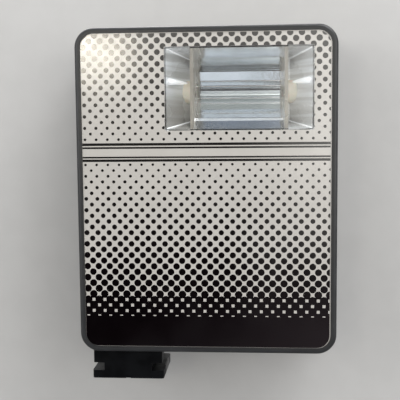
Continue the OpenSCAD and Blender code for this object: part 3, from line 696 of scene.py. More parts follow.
class PrintLattice(GeometryTree):
    """Staggered rows of flat marks that grow row by row and are cut off at a border and at a window."""

    least_distance: float = 1e-9

    def __init__(self) -> None:
        """Builds the tree."""
        super().__init__("print_lattice")
        graph = self.graph
        columns, rows, corners = self.inputs("Int", "Columns", "Rows", "Corners")
        first, *core = self.inputs("Vector", "First mark", "Core low", "Core high")
        window = self.inputs("Vector", "Window low", "Window high")
        column_step, row_step, row_lift, size, growth, turn, border = self.inputs(
            "Float", "Column step", "Row step", "Row lift", "First radius", "Growth", "Turn", "Border radius")

        index = graph.geo("InputIndex")
        row = graph.math("FLOOR", graph.math("DIVIDE", graph.math("ADD", index, 0.5), columns))
        odd = graph.math("MODULO", row, 2.0)
        column = graph.math("MULTIPLY_ADD", odd, 0.5, graph.minus(index, graph.times(row, columns)))
        shift = graph.joined(graph.times(column, column_step), graph.times(odd, row_lift),
                             graph.times(row, row_step))
        centre = graph.vector("ADD", first, shift)
        radius = graph.math("MULTIPLY_ADD", row, growth, size)
        made = graph.geo("Points", {"Count": graph.times(rows, columns), "Position": centre})
        held = []
        for name, value, kind in (("centre", centre, "FLOAT_VECTOR"), ("size", radius, "FLOAT")):
            made = graph.geo("StoreNamedAttribute", {"Geometry": made, "Name": name, "Value": value},
                             data_type=kind, domain="POINT")
            held.append(graph.geo("InputNamedAttribute", {"Name": name}, data_type=kind))
        own, scale = held
        outside = graph.minus(self.distance(own, *core), border)
        outmost = graph.math("MAXIMUM", outside, self.window_sides(own, *window)[0])
        made = graph.geo("DeleteGeometry", {"Geometry": made, "Selection": graph.math(
            "GREATER_THAN", outmost, scale)}, domain="POINT")
        mark = graph.geo("MeshCircle", {"Vertices": corners, "Radius": 1.0}, fill_type="NGON")
        facing = graph.out("FunctionNodeEulerToRotation", {0: graph.joined(math.pi / 2, turn, 0.0)})
        made = graph.geo("InstanceOnPoints", {"Points": made, "Instance": mark, "Rotation": facing,
                                              "Scale": scale})
        made = graph.geo("RealizeInstances", {"Geometry": made})
        cut = self.cut_at_border(self.cut_at_window(graph.geo("InputPosition"), own, *window), *core, border)
        made = graph.geo("SetPosition", {"Geometry": made, "Position": cut})
        for name in ("centre", "size"):
            made = graph.geo("RemoveAttribute", {"Geometry": made, "Name": name})
        self.close(made)

    def nearest(self, place: Socket, low: Socket, high: Socket) -> Socket:
        """Returns the point of a box that lies nearest to a place."""
        return self.graph.vector("MAXIMUM", self.graph.vector("MINIMUM", place, high), low)

    def distance(self, place: Socket, low: Socket, high: Socket) -> Socket:
        """Returns the distance from a place to a box."""
        return self.graph.measure("DISTANCE", place, self.nearest(place, low, high))

    def window_sides(self, centre: Socket, low: Socket, high: Socket) -> tuple:
        """Finds the side of the window that a mark's centre is nearest to.

        Args:
            centre: centre of the mark.
            low: lowest corner of the window.
            high: highest corner of the window.

        Returns:
            How deep the centre lies inside the window, and a 0 or 1 for the left, right and lower side.
        """
        graph = self.graph
        x, _, z = graph.parts(centre)
        left, _, bottom = graph.parts(low)
        right, _, top = graph.parts(high)
        depths = [graph.minus(*ends) for ends in ((x, left), (right, x), (z, bottom), (top, z))]
        least = reduce(lambda first, second: graph.math("MINIMUM", first, second), depths)
        limit = graph.math("ADD", least, MERGE)
        return least, *(graph.math("LESS_THAN", depth, limit) for depth in depths[:3])

    def cut_at_window(self, place: Socket, centre: Socket, low: Socket, high: Socket) -> Socket:
        """Moves a place out of the window, to the side that its mark's centre is nearest to.

        Args:
            place: corner of a mark.
            centre: centre of its mark.
            low: lowest corner of the window.
            high: highest corner of the window.

        Returns:
            The new place.
        """
        graph = self.graph
        x, y, z = graph.parts(place)
        left, _, bottom = graph.parts(low)
        right, _, top = graph.parts(high)
        _, at_left, at_right, at_bottom = self.window_sides(centre, low, high)
        inside = graph.times(*(graph.math("LESS_THAN", *ends) for ends in (
            (left, x), (x, right), (bottom, z), (z, top))))
        to_left = graph.times(inside, at_left)
        to_right = graph.times(inside, at_right, graph.minus(1.0, at_left))
        upright = graph.minus(inside, to_left, to_right)
        to_bottom = graph.times(upright, at_bottom)
        for share, edge in ((to_left, left), (to_right, right)):
            x = graph.math("MULTIPLY_ADD", share, graph.minus(edge, x), x)
        for share, edge in ((to_bottom, bottom), (graph.minus(upright, to_bottom), top)):
            z = graph.math("MULTIPLY_ADD", share, graph.minus(edge, z), z)
        return graph.joined(x, y, z)

    def cut_at_border(self, place: Socket, low: Socket, high: Socket, border: Socket) -> Socket:
        """Moves a place back onto the printed area, which has round corners.

        Args:
            place: corner of a mark.
            low: lowest corner of the printed area's core.
            high: highest corner of the printed area's core.
            border: radius of the printed area's corners.

        Returns:
            The new place.
        """
        graph = self.graph
        anchor = self.nearest(place, low, high)
        away = graph.math("MAXIMUM", self.distance(place, low, high), self.least_distance)
        share = graph.math("MINIMUM", graph.math("DIVIDE", border, away), 1.0)
        return graph.vector("ADD", anchor, graph.scaled(graph.vector("SUBTRACT", place, anchor), share))


class TickRing(GeometryTree):
    """Short radial strokes on an arc of the rear face, every so many of them longer."""

    longer: float = 0.5

    def __init__(self) -> None:
        """Builds the tree."""
        super().__init__("tick_ring")
        graph = self.graph
        count, every = self.inputs("Int", "Count", "Long every")
        centre, = self.inputs("Vector", "Centre")
        radius, first, step, length, width = self.inputs(
            "Float", "Inner radius", "First angle", "Angle step", "Length", "Width")
        index = graph.geo("InputIndex")
        angle = graph.math("MULTIPLY_ADD", index, step, first)
        rest = graph.math("MODULO", graph.math("ADD", index, 0.01), every)
        is_long = graph.math("LESS_THAN", rest, 0.5)
        reach = graph.times(length, graph.math("MULTIPLY_ADD", is_long, self.longer, 1.0))
        middle = graph.math("MULTIPLY_ADD", reach, 1 / 2, radius)
        around = graph.joined(graph.math("COSINE", angle), 0.0, graph.math("SINE", angle))
        points = graph.geo("Points", {"Count": count, "Position": graph.vector(
            "ADD", centre, graph.scaled(around, middle))})
        stroke = graph.geo("MeshGrid", {"Size X": 1.0, "Size Y": 1.0, "Vertices X": 2, "Vertices Y": 2})
        turned = graph.out("FunctionNodeEulerToRotation", {
            0: graph.joined(-math.pi / 2, graph.times(angle, -1.0), 0.0)})
        strokes = graph.geo("InstanceOnPoints", {"Points": points, "Instance": stroke, "Rotation": turned,
                                                 "Scale": graph.joined(reach, width, 1.0)})
        self.close(strokes)


class WoundWire(GeometryTree):
    """Round wire wound in a helix around an axis along X or Y."""

    corners_a_turn: int = 28
    section_corners: int = 8

    def __init__(self) -> None:
        """Builds the tree."""
        super().__init__("wound_wire")
        graph = self.graph
        turns, radius, length, wire = self.inputs("Float", "Turns", "Radius", "Length", "Wire radius")
        tilt, start = self.inputs("Vector", "Tilt", "Start")
        helix = graph.geo("CurveSpiral", {"Resolution": self.corners_a_turn, "Rotations": turns,
                                          "Start Radius": radius, "End Radius": radius, "Height": length})
        section = graph.geo("CurvePrimitiveCircle", {"Resolution": self.section_corners, "Radius": wire})
        body = graph.geo("CurveToMesh", {"Curve": helix, "Profile Curve": section, "Fill Caps": True})
        turned = graph.out("FunctionNodeEulerToRotation", {0: tilt})
        self.close(graph.geo("Transform", {"Geometry": body, "Translation": start, "Rotation": turned}))


# ---------------------------------------------------------------- sub-assemblies


class SubAssembly:
    """Common steps of all sub-assemblies."""

    def dress(self, finishes: dict[str, Finish], box: tuple[Vector, Vector] | None = None) -> None:
        """Gives construction pieces their finish.

        Args:
            finishes: finish of each construction piece, by its name.
            box: corners of the box whose edges wear; each piece's own if left out.
        """
        for node, finish in finishes.items():
            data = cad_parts[node].data
            data.materials.clear()
            data.materials.append(finish.material(*(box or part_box(node))))
            log.info("%s: %s", node, finish.name)

    def keep(self, piece: Piece, body: Body, finish: Finish, replaced: str = "") -> Piece:
        """Makes a finished piece move with its body, and names what it belongs to.

        Args:
            piece: the finished piece, in place.
            body: body that it moves with.
            finish: finish of the piece.
            replaced: construction piece that it stands for, if any.

        Returns:
            The same piece.
        """
        if not piece.data.materials:
            piece.data.materials.append(finish.material())
        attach(piece, body.value)
        if replaced:
            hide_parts(replaced)
        log.info("%s: %d faces, rides on %s", piece.name, len(piece.data.polygons), body.value)
        return piece


@dataclass
class Casing(SubAssembly):
    """Both shells, the bare front panel, the screws and the foot's guide."""

    plastic: Finish = Finish(
        "charcoal_casing", "casing_plastic", (0.0150, 0.0157, 0.0168), (0.0178, 0.0187, 0.020), roughness=0.36,
        spread=0.04, grain=7.0, depth=0.006, wear=0.16, wear_width=0.9, worn=(0.13, 0.13, 0.135), scratch=0.25,
        scratched=(0.16, 0.16, 0.165))
    lacquer: Finish = Finish(
        "cream_silver_lacquer", "panel_print", (0.515, 0.495, 0.465), (0.49, 0.47, 0.44), roughness=0.15,
        spread=0.06, grain=9.0, depth=0.002, specular=0.9, scratch=0.3, scratched=(0.5, 0.48, 0.45))
    steel: Finish = Finish(
        "zinc_plated_steel", "steel", (0.5, 0.5, 0.5), (0.42, 0.42, 0.43), roughness=0.34, grain=12.0, metallic=1.0)
    black: Finish = Finish(
        "black_nylon", "black_plastic", (0.012, 0.0125, 0.014), (0.017, 0.0175, 0.019), roughness=0.42, spread=0.16,
        grain=5.0, depth=0.006, specular=0.4)

    def build(self) -> None:
        """Finishes the casing's pieces; both shells wear along the edges of the whole casing."""
        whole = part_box("front_shell")[0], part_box("rear_shell")[1]
        self.dress({"front_shell": self.plastic, "rear_shell": self.plastic}, whole)
        self.dress({"front_panel": self.lacquer, "casing_screws": self.steel, "detent_spring": self.steel,
                    "foot_guide": self.black})


@dataclass(frozen=True)
class Marks:
    """One field of printed marks, given from its first row; round ones unless square."""

    name: str
    finish: Finish
    first: float
    rows: int
    way: int
    radius: float
    growth: float
    layer: int = 1
    square: bool = False


@dataclass
class FrontPrint(SubAssembly):
    """Halftone dots, rules and the dark foot of the front panel, with heights from the casing's underside."""

    ink: Finish = Finish(
        "black_print", "panel_print", (0.0006, 0.0002, 0.0004), (0.0016, 0.0008, 0.0012), roughness=0.14,
        spread=0.06, grain=9.0, depth=0.002, drift=0.05, specular=0.9, scratch=0.14,
        scratched=(0.07, 0.055, 0.06))
    edge_low: Pair = (0.03, 0.04)
    edge_high: Pair = (0.24, 0.14)
    window_rim: float = 0.98
    corner: float = 3.2
    square_corner: float = 0.01
    column_step: float = 2.835
    row_step: float = 1.426
    dot_sides: int = 22
    columns: int = 26
    first_column: float = -33.06
    fields: tuple[Marks, ...] = (
        Marks("lower_halftone", ink, 47.84, 25, -1, 0.32, 0.0282),
        Marks("upper_halftone", ink, 54.13, 19, 1, 0.345, 0.0245),
        Marks("foot_knockouts", Casing.lacquer, 13.6, 4, -1, 0.76 / math.sqrt(2), -0.012, 3, True))
    rules: tuple[Pair, ...] = ((52.90, 0.66), (52.04, 0.46), (49.67, 0.42), (48.88, 0.62))
    dark_top: float = 14.4
    knockout_low: float = 9.42
    layers: tuple[float, ...] = (0.006, 0.010, 0.014, 0.020)
    depth_limit: float = 1e3
    corner_step: int = 9

    def place(self) -> None:
        """Takes the panel's and the window's places from the frame."""
        low, high = span("front_panel")
        shell_low, shell_high = span("front_shell")
        self.middle = (shell_low.x + shell_high.x) / 2
        self.under = shell_low.z
        self.face = low.y
        self.low = Vector((low.x, low.z)) + Vector(self.edge_low)
        self.high = Vector((high.x, high.z)) - Vector(self.edge_high)
        window_low, window_high = span("flash_window")
        rim = Vector((self.window_rim, 0, self.window_rim))
        self.window = window_low + rim, window_high - rim

    def lattice(self, tree: PrintLattice, marks: Marks) -> Piece:
        """Makes one field of marks.

        Args:
            tree: the lattice's tree.
            marks: the field.

        Returns:
            The piece.
        """
        square = marks.square
        low = self.under + self.knockout_low if square else self.low.y
        corner = self.square_corner if square else self.corner
        column = self.middle + self.first_column - (self.column_step / 2 if square else 0.0)
        return tree.piece(marks.name, marks.finish, {
            "Columns": self.columns, "Rows": marks.rows, "Corners": 4 if square else self.dot_sides,
            "Turn": math.pi / 4 if square else 0.0,
        }, {
            "First mark": Vector((column, self.face - self.layers[marks.layer], self.under + marks.first)),
            "Column step": self.column_step, "Row step": marks.way * self.row_step,
            "Row lift": 0.0 if square else self.layers[1] - self.layers[2],
            "First radius": marks.radius, "Growth": marks.growth, "Border radius": corner,
            "Core low": Vector((self.low.x + corner, -self.depth_limit, low + corner)),
            "Core high": Vector((self.high.x - corner, self.depth_limit, self.high.y - corner)),
            "Window low": self.window[0], "Window high": self.window[1]})

    def dark_foot(self) -> list[Pair]:
        """Draws the outline of the solid dark area, with the panel's two round lower corners.

        Returns:
            The corners, as x and z.
        """
        top, corner = self.under + self.dark_top, self.corner
        outline = [(self.high.x, top), (self.low.x, top)]
        for side, start in ((self.low.x + corner, 180), (self.high.x - corner, 270)):
            for angle in (math.radians(start + step) for step in range(0, 91, self.corner_step)):
                outline.append((side + corner * math.cos(angle), self.low.y + corner + corner * math.sin(angle)))
        return outline

    def build(self) -> None:
        """Prints the front panel."""
        self.place()
        tree = PrintLattice()
        for marks in self.fields:
            self.keep(self.lattice(tree, marks), Body.CASING, marks.finish)
        bars = []
        for height, width in self.rules:
            low, high = self.under + height - width / 2, self.under + height + width / 2
            bars.append([(self.low.x, low), (self.high.x, low), (self.high.x, high), (self.low.x, high)])
        for name, outlines in (("panel_rules", bars), ("dark_foot_print", [self.dark_foot()])):
            self.keep(flat(name, outlines, self.face - self.layers[0]), Body.CASING, self.ink)


@dataclass
class FlashHead(SubAssembly):
    """Window, reflector, end cheeks, flash tube and its sleeves, with depths from just before the window."""

    window: Finish = Clear(
        "clear_acrylic", "window_clear", (0.97, 0.985, 0.99), (0.95, 0.97, 0.98), roughness=0.02, spread=0.01,
        grain=1.2, depth=0.001, index=1.49)
    mirror: Finish = Finish(
        "vacuum_metal", "reflector_metal", (0.89, 0.905, 0.915), (0.835, 0.855, 0.86), roughness=0.1, spread=0.08,
        grain=0.8, depth=0.012, metallic=1.0)
    # satin_metal carries painted reflection streaks and painted shade towards the lower left
    satin: Finish = DrawnWithPaintedLight(
        "satin_metal", "reflector_metal", (0.88, 0.895, 0.91), (0.56, 0.56, 0.55), roughness=0.26, spread=0.12,
        grain=0.7, depth=0.03, metallic=0.1, specular=0.9)
    # painted highlight: a white finish that glows a little, on the bays' bead and hip lines, which are no lamp
    bright: Finish = Finish(
        "glowing_highlight_edge", "reflector_metal", (1.0, 1.0, 1.0), (0.96, 0.97, 0.98), roughness=0.12, spread=0.04,
        specular=1.0, glow=0.25)
    cheek: Finish = Clear(
        "tan_translucent", "cheek_plastic", (0.50, 0.46, 0.395), (0.42, 0.38, 0.325), roughness=0.3, grain=3.0,
        depth=0.01, index=1.5, clearness=0.45, veil=(0.93, 0.92, 0.90))
    glass: Finish = Clear(
        "quartz_glass", "tube_glass", (0.97, 0.98, 0.98), (0.94, 0.95, 0.96), roughness=0.02, spread=0.02,
        grain=1.0, depth=0.001, index=1.46)
    electrode: Finish = Finish(
        "dark_tungsten", "steel", (0.32, 0.31, 0.3), (0.22, 0.2, 0.19), roughness=0.4, metallic=1.0)
    sleeve: Finish = Finish(
        "cream_silicone", "cream_rubber", (0.84, 0.79, 0.67), (0.75, 0.69, 0.56), roughness=0.5, grain=4.0,
        depth=0.01, subsurface=0.25)
    setback: float = 0.25
    pane: float = 1.3
    wall: float = 0.3
    bevel: float = 0.12
    corner: float = 0.55
    corner_steps: int = 4
    flange: tuple[float, float, float, float] = (2.2, 3.2, 1.0, 3.4)
    skirt_end: float = 6.2
    shell: float = 0.4
    play: float = 0.05
    mirror_aim: float = 6.0
    glass_wall: float = 0.25
    electrode_length: float = 4.0
    lead_radius: float = 0.45
    crease: float = 40.0
    tube_corners: int = 48
    round_corners: int = 32
    bead_corners: int = 12
    hip_corners: int = 8
    cheek_front: Pair = (11.25, 12.1)
    cheek_back: Pair = (10.45, 12.1)
    cheek_gap: float = 0.1
    sleeve_radius: float = 3.0
    sleeve_drop: float = 0.45
    sleeve_reach: float = 3.6
    sleeve_round: float = 1.2
    sleeve_steps: int = 4
    sleeve_edge: Pair = (0.15, 0.1)
    bay_lap: float = 0.02
    bay_end: float = 12.9
    bay_depth: float = 12.3
    bay_half: float = 8.05
    hip_bevel: float = 0.22
    hip_segments: int = 2
    least_hip: float = 1.0
    hip_radius: float = 0.17
    hip_start: Triple = (0.45, -0.35, 0.2)
    hip_end: Pair = (0.1, 0.05)
    bead: Pair = (1.85, 0.85)
    bead_start: Pair = (0.6, 0.5)
    bead_end: Pair = (0.5, 2.0)
    bead_shape: tuple[float, ...] = (0.3, 0.4, 0.7, 0.6, 0.25)
    profile: tuple[Pair, ...] = (
        (4.8, 7.75), (5.3, 7.61), (9.12, 6.53), (10.73, 5.62), (12.02, 4.83), (13.45, 1.0), (13.6, 0.0),
        (13.45, -1.4), (12.35, -4.9), (10.8, -7.0), (5.3, -7.25), (4.8, -7.9))

    def place(self) -> None:
        """Takes the window's place from the frame."""
        low, high = span("flash_window")
        reach = Vector((self.flange[2], 0, self.flange[2]))
        self.half = (high - low) / 2 - reach
        self.middle = (low + high) / 2
        self.middle.y = low.y - self.setback
        self.behind = self.setback + self.pane
        self.rim = self.half.x - self.wall - self.play, self.half.z - self.wall - self.play

    def at(self, x: float, y: float, z: float) -> Vector:
        """Returns a place given around the window's middle."""
        return self.middle + Vector((x, y, z))

    def ring(self, work: Work, inset: float, depth: float, corner: float) -> list[bmesh.types.BMVert]:
        """Adds one rounded rectangle of corners around the window.

        Args:
            work: mesh that gets the corners.
            inset: distance inwards from the window's edge.
            depth: place behind the casing's front.
            corner: radius of the round corners.

        Returns:
            The new corners, in order.
        """
        made = []
        for turn, (x, z) in enumerate(((1, 1), (-1, 1), (-1, -1), (1, -1))):
            for step in range(self.corner_steps + 1):
                angle = math.pi / 2 * (turn + step / self.corner_steps)
                made.append(work.verts.new(self.at(
                    x * (self.half.x - inset - corner) + corner * math.cos(angle), depth,
                    z * (self.half.z - inset - corner) + corner * math.sin(angle)) * MM))
        return made

    def pane_piece(self) -> Piece:
        """Makes the clear window: a pane with a thin skirt and a flange.

        Returns:
            The piece.
        """
        work = bmesh.new()
        start, end, reach, wide = self.flange
        face, corner, wall = self.setback, self.corner, self.wall
        walls(work, [self.ring(work, *sizes) for sizes in (
            (self.bevel, face, corner - self.bevel), (0.0, face + self.bevel, corner), (0.0, start, corner),
            (-reach, start, wide), (-reach, end, wide), (0.0, end, corner), (0.0, self.skirt_end, corner),
            (wall, self.skirt_end, corner - wall), (wall, self.behind, corner - wall))])
        return closed(work, "window_pane")

    def sheet(self, work: Work, *corners: Triple) -> None:
        """Adds one four-sided mirror face, given around the window's middle."""
        work.faces.new([work.verts.new(self.at(*corner) * MM) for corner in corners])

    def shelled(self, work: Work, name: str) -> Piece:
        """Makes a thin shell of mirror faces that look towards the window.

        Args:
            work: mesh with the faces, which this frees.
            name: name of the piece.

        Returns:
            The piece.
        """
        bmesh.ops.remove_doubles(work, verts=work.verts, dist=MERGE)
        for face in work.faces:
            centre = face.calc_center_median() / MM - self.middle
            face.normal_update()
            if face.normal.dot(Vector((centre.x, self.mirror_aim, centre.z))) > 0:
                face.normal_flip()
        piece = meshed(work, name)
        thick = piece.modifiers.new("wall", "SOLIDIFY")
        thick.thickness = self.shell * MM
        thick.offset = -1.0
        return piece

    def mirror_piece(self) -> Piece:
        """Makes the metallised trough between the cheeks.

        Returns:
            The piece.
        """
        work = bmesh.new()
        start, outer, top = self.behind + self.play, self.cheek_front[1], self.rim[1]
        line = [(start, top), *self.profile, (start, -top)]
        for (y0, z0), (y1, z1) in zip(line, line[1:]):
            self.sheet(work, (-outer, y0, z0), (outer, y0, z0), (outer, y1, z1), (-outer, y1, z1))
        return self.shelled(work, "trough_mirror")

    def bay_piece(self) -> Piece:
        """Makes the wedge-shaped bay at each end of the trough.

        Returns:
            The piece.
        """
        work = bmesh.new()
        start, end, back, tall = self.behind + self.play, self.bay_end, self.bay_depth, self.bay_half
        side, top = self.rim
        outer = self.cheek_front[1] + self.bay_lap
        for s in (-1, 1):
            for z in (-1, 1):
                self.sheet(work, (s * outer, start, z * top), (s * side, start, z * top),
                           (s * end, back, z * tall), (s * outer, back, z * tall))
            self.sheet(work, (s * side, start, top), (s * side, start, -top), (s * end, back, -tall),
                       (s * end, back, tall))
            self.sheet(work, (s * end, back, tall), (s * end, back, -tall), (s * outer, back, -tall),
                       (s * outer, back, tall))
        bmesh.ops.remove_doubles(work, verts=work.verts, dist=MERGE)
        hips = [edge for edge in work.edges if len(edge.link_faces) == 2 and abs(
            (edge.verts[0].co - edge.verts[1].co).y) > self.least_hip * MM]
        bmesh.ops.bevel(work, geom=hips, offset=self.hip_bevel * MM, segments=self.hip_segments, profile=0.5,
                        affect="EDGES")
        return self.shelled(work, "bay_mirrors")

    def turned(self, work: Work, outline: list[Pair], start: Vector, along: Vector, steps: int = round_corners,
               capped: bool = True) -> None:
        """Adds a closed round body.

        Args:
            work: mesh that gets the body.
            outline: place along the axis and radius, from end to end.
            start: start of the axis, in millimetres.
            along: direction of the axis.
            steps: number of corners around the axis.
            capped: whether flat ends close the outline.
        """
        along = along.normalized()
        side = along.orthogonal().normalized()
        top = along.cross(side)
        angles = [2 * math.pi * i / steps for i in range(steps)]
        walls(work, [[work.verts.new((start + along * place + (
            side * math.cos(angle) + top * math.sin(angle)) * radius) * MM) for angle in angles]
            for place, radius in outline], capped)

    def tube_pieces(self) -> tuple[Piece, Piece]:
        """Makes the flash tube's glass and its two electrodes with their leads.

        Returns:
            The glass and the electrodes.
        """
        low, high = span("flash_tube")
        lead_low, _ = span("tube_electrodes")
        axis = (low + high) / 2 - Vector((0, 0, self.sleeve_drop))
        radius, length = (high.z - low.z) / 2, high.x - low.x
        bore = radius - self.glass_wall
        glass, metal = bmesh.new(), bmesh.new()
        self.turned(glass, [(0.0, bore), (0.0, radius), (length, radius), (length, bore), (0.0, bore)],
                    Vector((low.x, axis.y, axis.z)), Vector((1, 0, 0)), self.tube_corners, False)
        lead = low.x - lead_low.x
        outline = [(0.0, self.lead_radius), (lead, self.lead_radius), (lead, bore - self.play),
                   (lead + self.electrode_length, bore - self.play)]
        for s in (-1, 1):
            start = Vector((self.middle.x + s * (self.middle.x - lead_low.x), axis.y, axis.z))
            self.turned(metal, outline, start, Vector((-s, 0, 0)))
        pieces = closed(glass, "tube_glass", True), closed(metal, "electrodes", True)
        for piece in pieces:
            piece.data.set_sharp_from_angle(angle=math.radians(self.crease))
        return pieces

    def sleeve_piece(self) -> Piece:
        """Makes the rubber sleeves with their rounded outer ends.

        Returns:
            The piece.
        """
        work = bmesh.new()
        low, high = span("flash_tube")
        radius, bend = self.sleeve_radius, self.sleeve_round
        outline = [(0.0, radius - self.sleeve_edge[1]), (self.sleeve_edge[0], radius)]
        for step in range(self.sleeve_steps + 1):
            angle = math.pi / 2 * step / self.sleeve_steps
            outline.append((self.sleeve_reach - bend + bend * math.sin(angle),
                            radius - bend + bend * math.cos(angle)))
        for s in (-1, 1):
            start = (low + high) / 2 - Vector((0, 0, self.sleeve_drop))
            start.x = self.middle.x + s * self.cheek_front[1]
            self.turned(work, outline, start, Vector((s, 0, 0)))
        return closed(work, "rubber_sleeves", True)

    def bead_piece(self) -> Piece:
        """Makes the moulded bead along each bay's end wall and the bright lines along its hips, which carry a painted
        highlight that glows a little.

        Returns:
            The piece.
        """
        work = bmesh.new()
        height, radius = self.bead
        lift, start_y = self.bead_start[0], self.behind + self.bead_start[1]
        rim_x = self.half.x - self.wall - lift
        first, near, late, thin, last = self.bead_shape
        ahead, short = self.bead_end
        for s in (-1, 1):
            start = self.at(s * rim_x, start_y, height)
            along = self.at(s * (self.bay_end + ahead), self.bay_depth - short, height) - start
            self.turned(work, [(0.0, radius * first), (near, radius), (along.length * late, radius * thin),
                               (along.length, radius * last)], start, along, self.bead_corners)
            for z in (-1, 1):
                x, y, inset = self.hip_start
                start = self.at(s * (rim_x + x), start_y + y, z * (self.half.z - self.wall - inset))
                back, inset = self.hip_end
                along = self.at(s * self.bay_end, self.bay_depth - back, z * (self.bay_half - inset)) - start
                self.turned(work, [(0.0, self.hip_radius), (along.length, self.hip_radius)], start, along,
                            self.hip_corners)
        return closed(work, "bay_beads", True)

    def cheek_piece(self) -> Piece:
        """Makes the two translucent end cheeks, which carry the tube.

        Returns:
            The piece.
        """
        work = bmesh.new()
        tall, start = self.rim[1] - self.play, self.behind + 2 * self.play
        back, low = self.bay_depth - self.cheek_gap, self.bay_half - self.cheek_gap
        line = ((self.cheek_front, start, tall), (self.cheek_back, back, low), (self.cheek_back, back, -low),
                (self.cheek_front, start, -tall))
        for s in (-1, 1):
            walls(work, [[work.verts.new(self.at(s * sides[side], y, z) * MM) for sides, y, z in line]
                         for side in (0, 1)])
        return closed(work, "end_cheeks")

    def build(self) -> None:
        """Builds and finishes the flash head's pieces."""
        self.place()
        glass, electrodes = self.tube_pieces()
        for piece, finish, node in ((self.pane_piece(), self.window, "flash_window"),
                                    (self.mirror_piece(), self.mirror, "reflector"),
                                    (self.bay_piece(), self.satin, "reflector"),
                                    (self.bead_piece(), self.bright, "reflector"),
                                    (self.cheek_piece(), self.cheek, "reflector_cheeks"),
                                    (self.sleeve_piece(), self.sleeve, "tube_sleeves"),
                                    (glass, self.glass, "flash_tube"),
                                    (electrodes, self.electrode, "tube_electrodes")):
            self.keep(piece, Body.CASING, finish, node)


def ends_of(node: str, axis: Axis) -> dict[str, object]:
    """Returns the axis and both ends of a construction piece, for the bands of its finish."""
    low, high = span(node)
    return {"axis": axis, "start": low[axis.value], "end": high[axis.value]}


@dataclass
class BatteryBay(SubAssembly):
    """Battery box, cells, contacts, the door with its pad, and the hinge pin."""

    nickel: Finish = Finish(
        "nickel_plate", "nickel", (0.66, 0.64, 0.58), (0.58, 0.56, 0.5), roughness=0.24, grain=8.0, metallic=1.0)
    foam: Finish = Finish(
        "grey_foam", "foam", (0.11, 0.11, 0.115), (0.07, 0.07, 0.075), roughness=0.95, grain=2.6, depth=0.12,
        drift=1.4, sheen=0.3)
    pad_cuts: int = 9
    pad_crown: Triple = (0.05, 0.16, 0.06)

    def jacket(self) -> Finish:
        """Makes the finish of the plain cells, with steel ends and a light ring.

        Returns:
            The finish.
        """
        steel, blue, pale = (0.55, 0.55, 0.56), (0.03, 0.075, 0.16), (0.55, 0.56, 0.57)
        return Banded("cell_jacket", "cell_jacket", steel, (0.5, 0.5, 0.5), roughness=0.28, coat=0.5,
                      **ends_of("battery_cells", Axis.X),
                      bands=((0.035, blue), (0.14, pale), (0.16, blue), (0.84, pale), (0.86, blue),
                             (0.965, steel)))

    def pad(self) -> Piece:
        """Makes the crowned foam pad that steadies the cells.

        Returns:
            The piece.
        """
        low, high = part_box("door_pad")
        middle, half = (low + high) / 2, (high - low) / 2
        work = bmesh.new()
        bmesh.ops.create_cube(work, size=2.0)
        bmesh.ops.subdivide_edges(work, edges=work.edges, cuts=self.pad_cuts, use_grid_fill=True)
        across, deep, along = self.pad_crown
        for vertex in work.verts:
            x, y, z = vertex.co
            vertex.co = middle + Vector((x * (1 - across * (y ** 6 + z ** 6)) * half.x,
                                         y * (1 - deep * (x ** 8 + z ** 6)) * half.y,
                                         z * (1 - along * (x ** 6 + y ** 6)) * half.z))
        bmesh.ops.recalc_face_normals(work, faces=work.faces)
        return meshed(work, "foam_pad", smooth=True)

    def build(self) -> None:
        """Finishes the battery bay's pieces."""
        self.dress({"battery_door": Casing.plastic, "battery_box": Casing.black, "battery_cells": self.jacket(),
                    "battery_contacts": self.nickel, "hinge_pin": Casing.steel})
        pad = self.keep(self.pad(), Body.DOOR, self.foam, "door_pad")


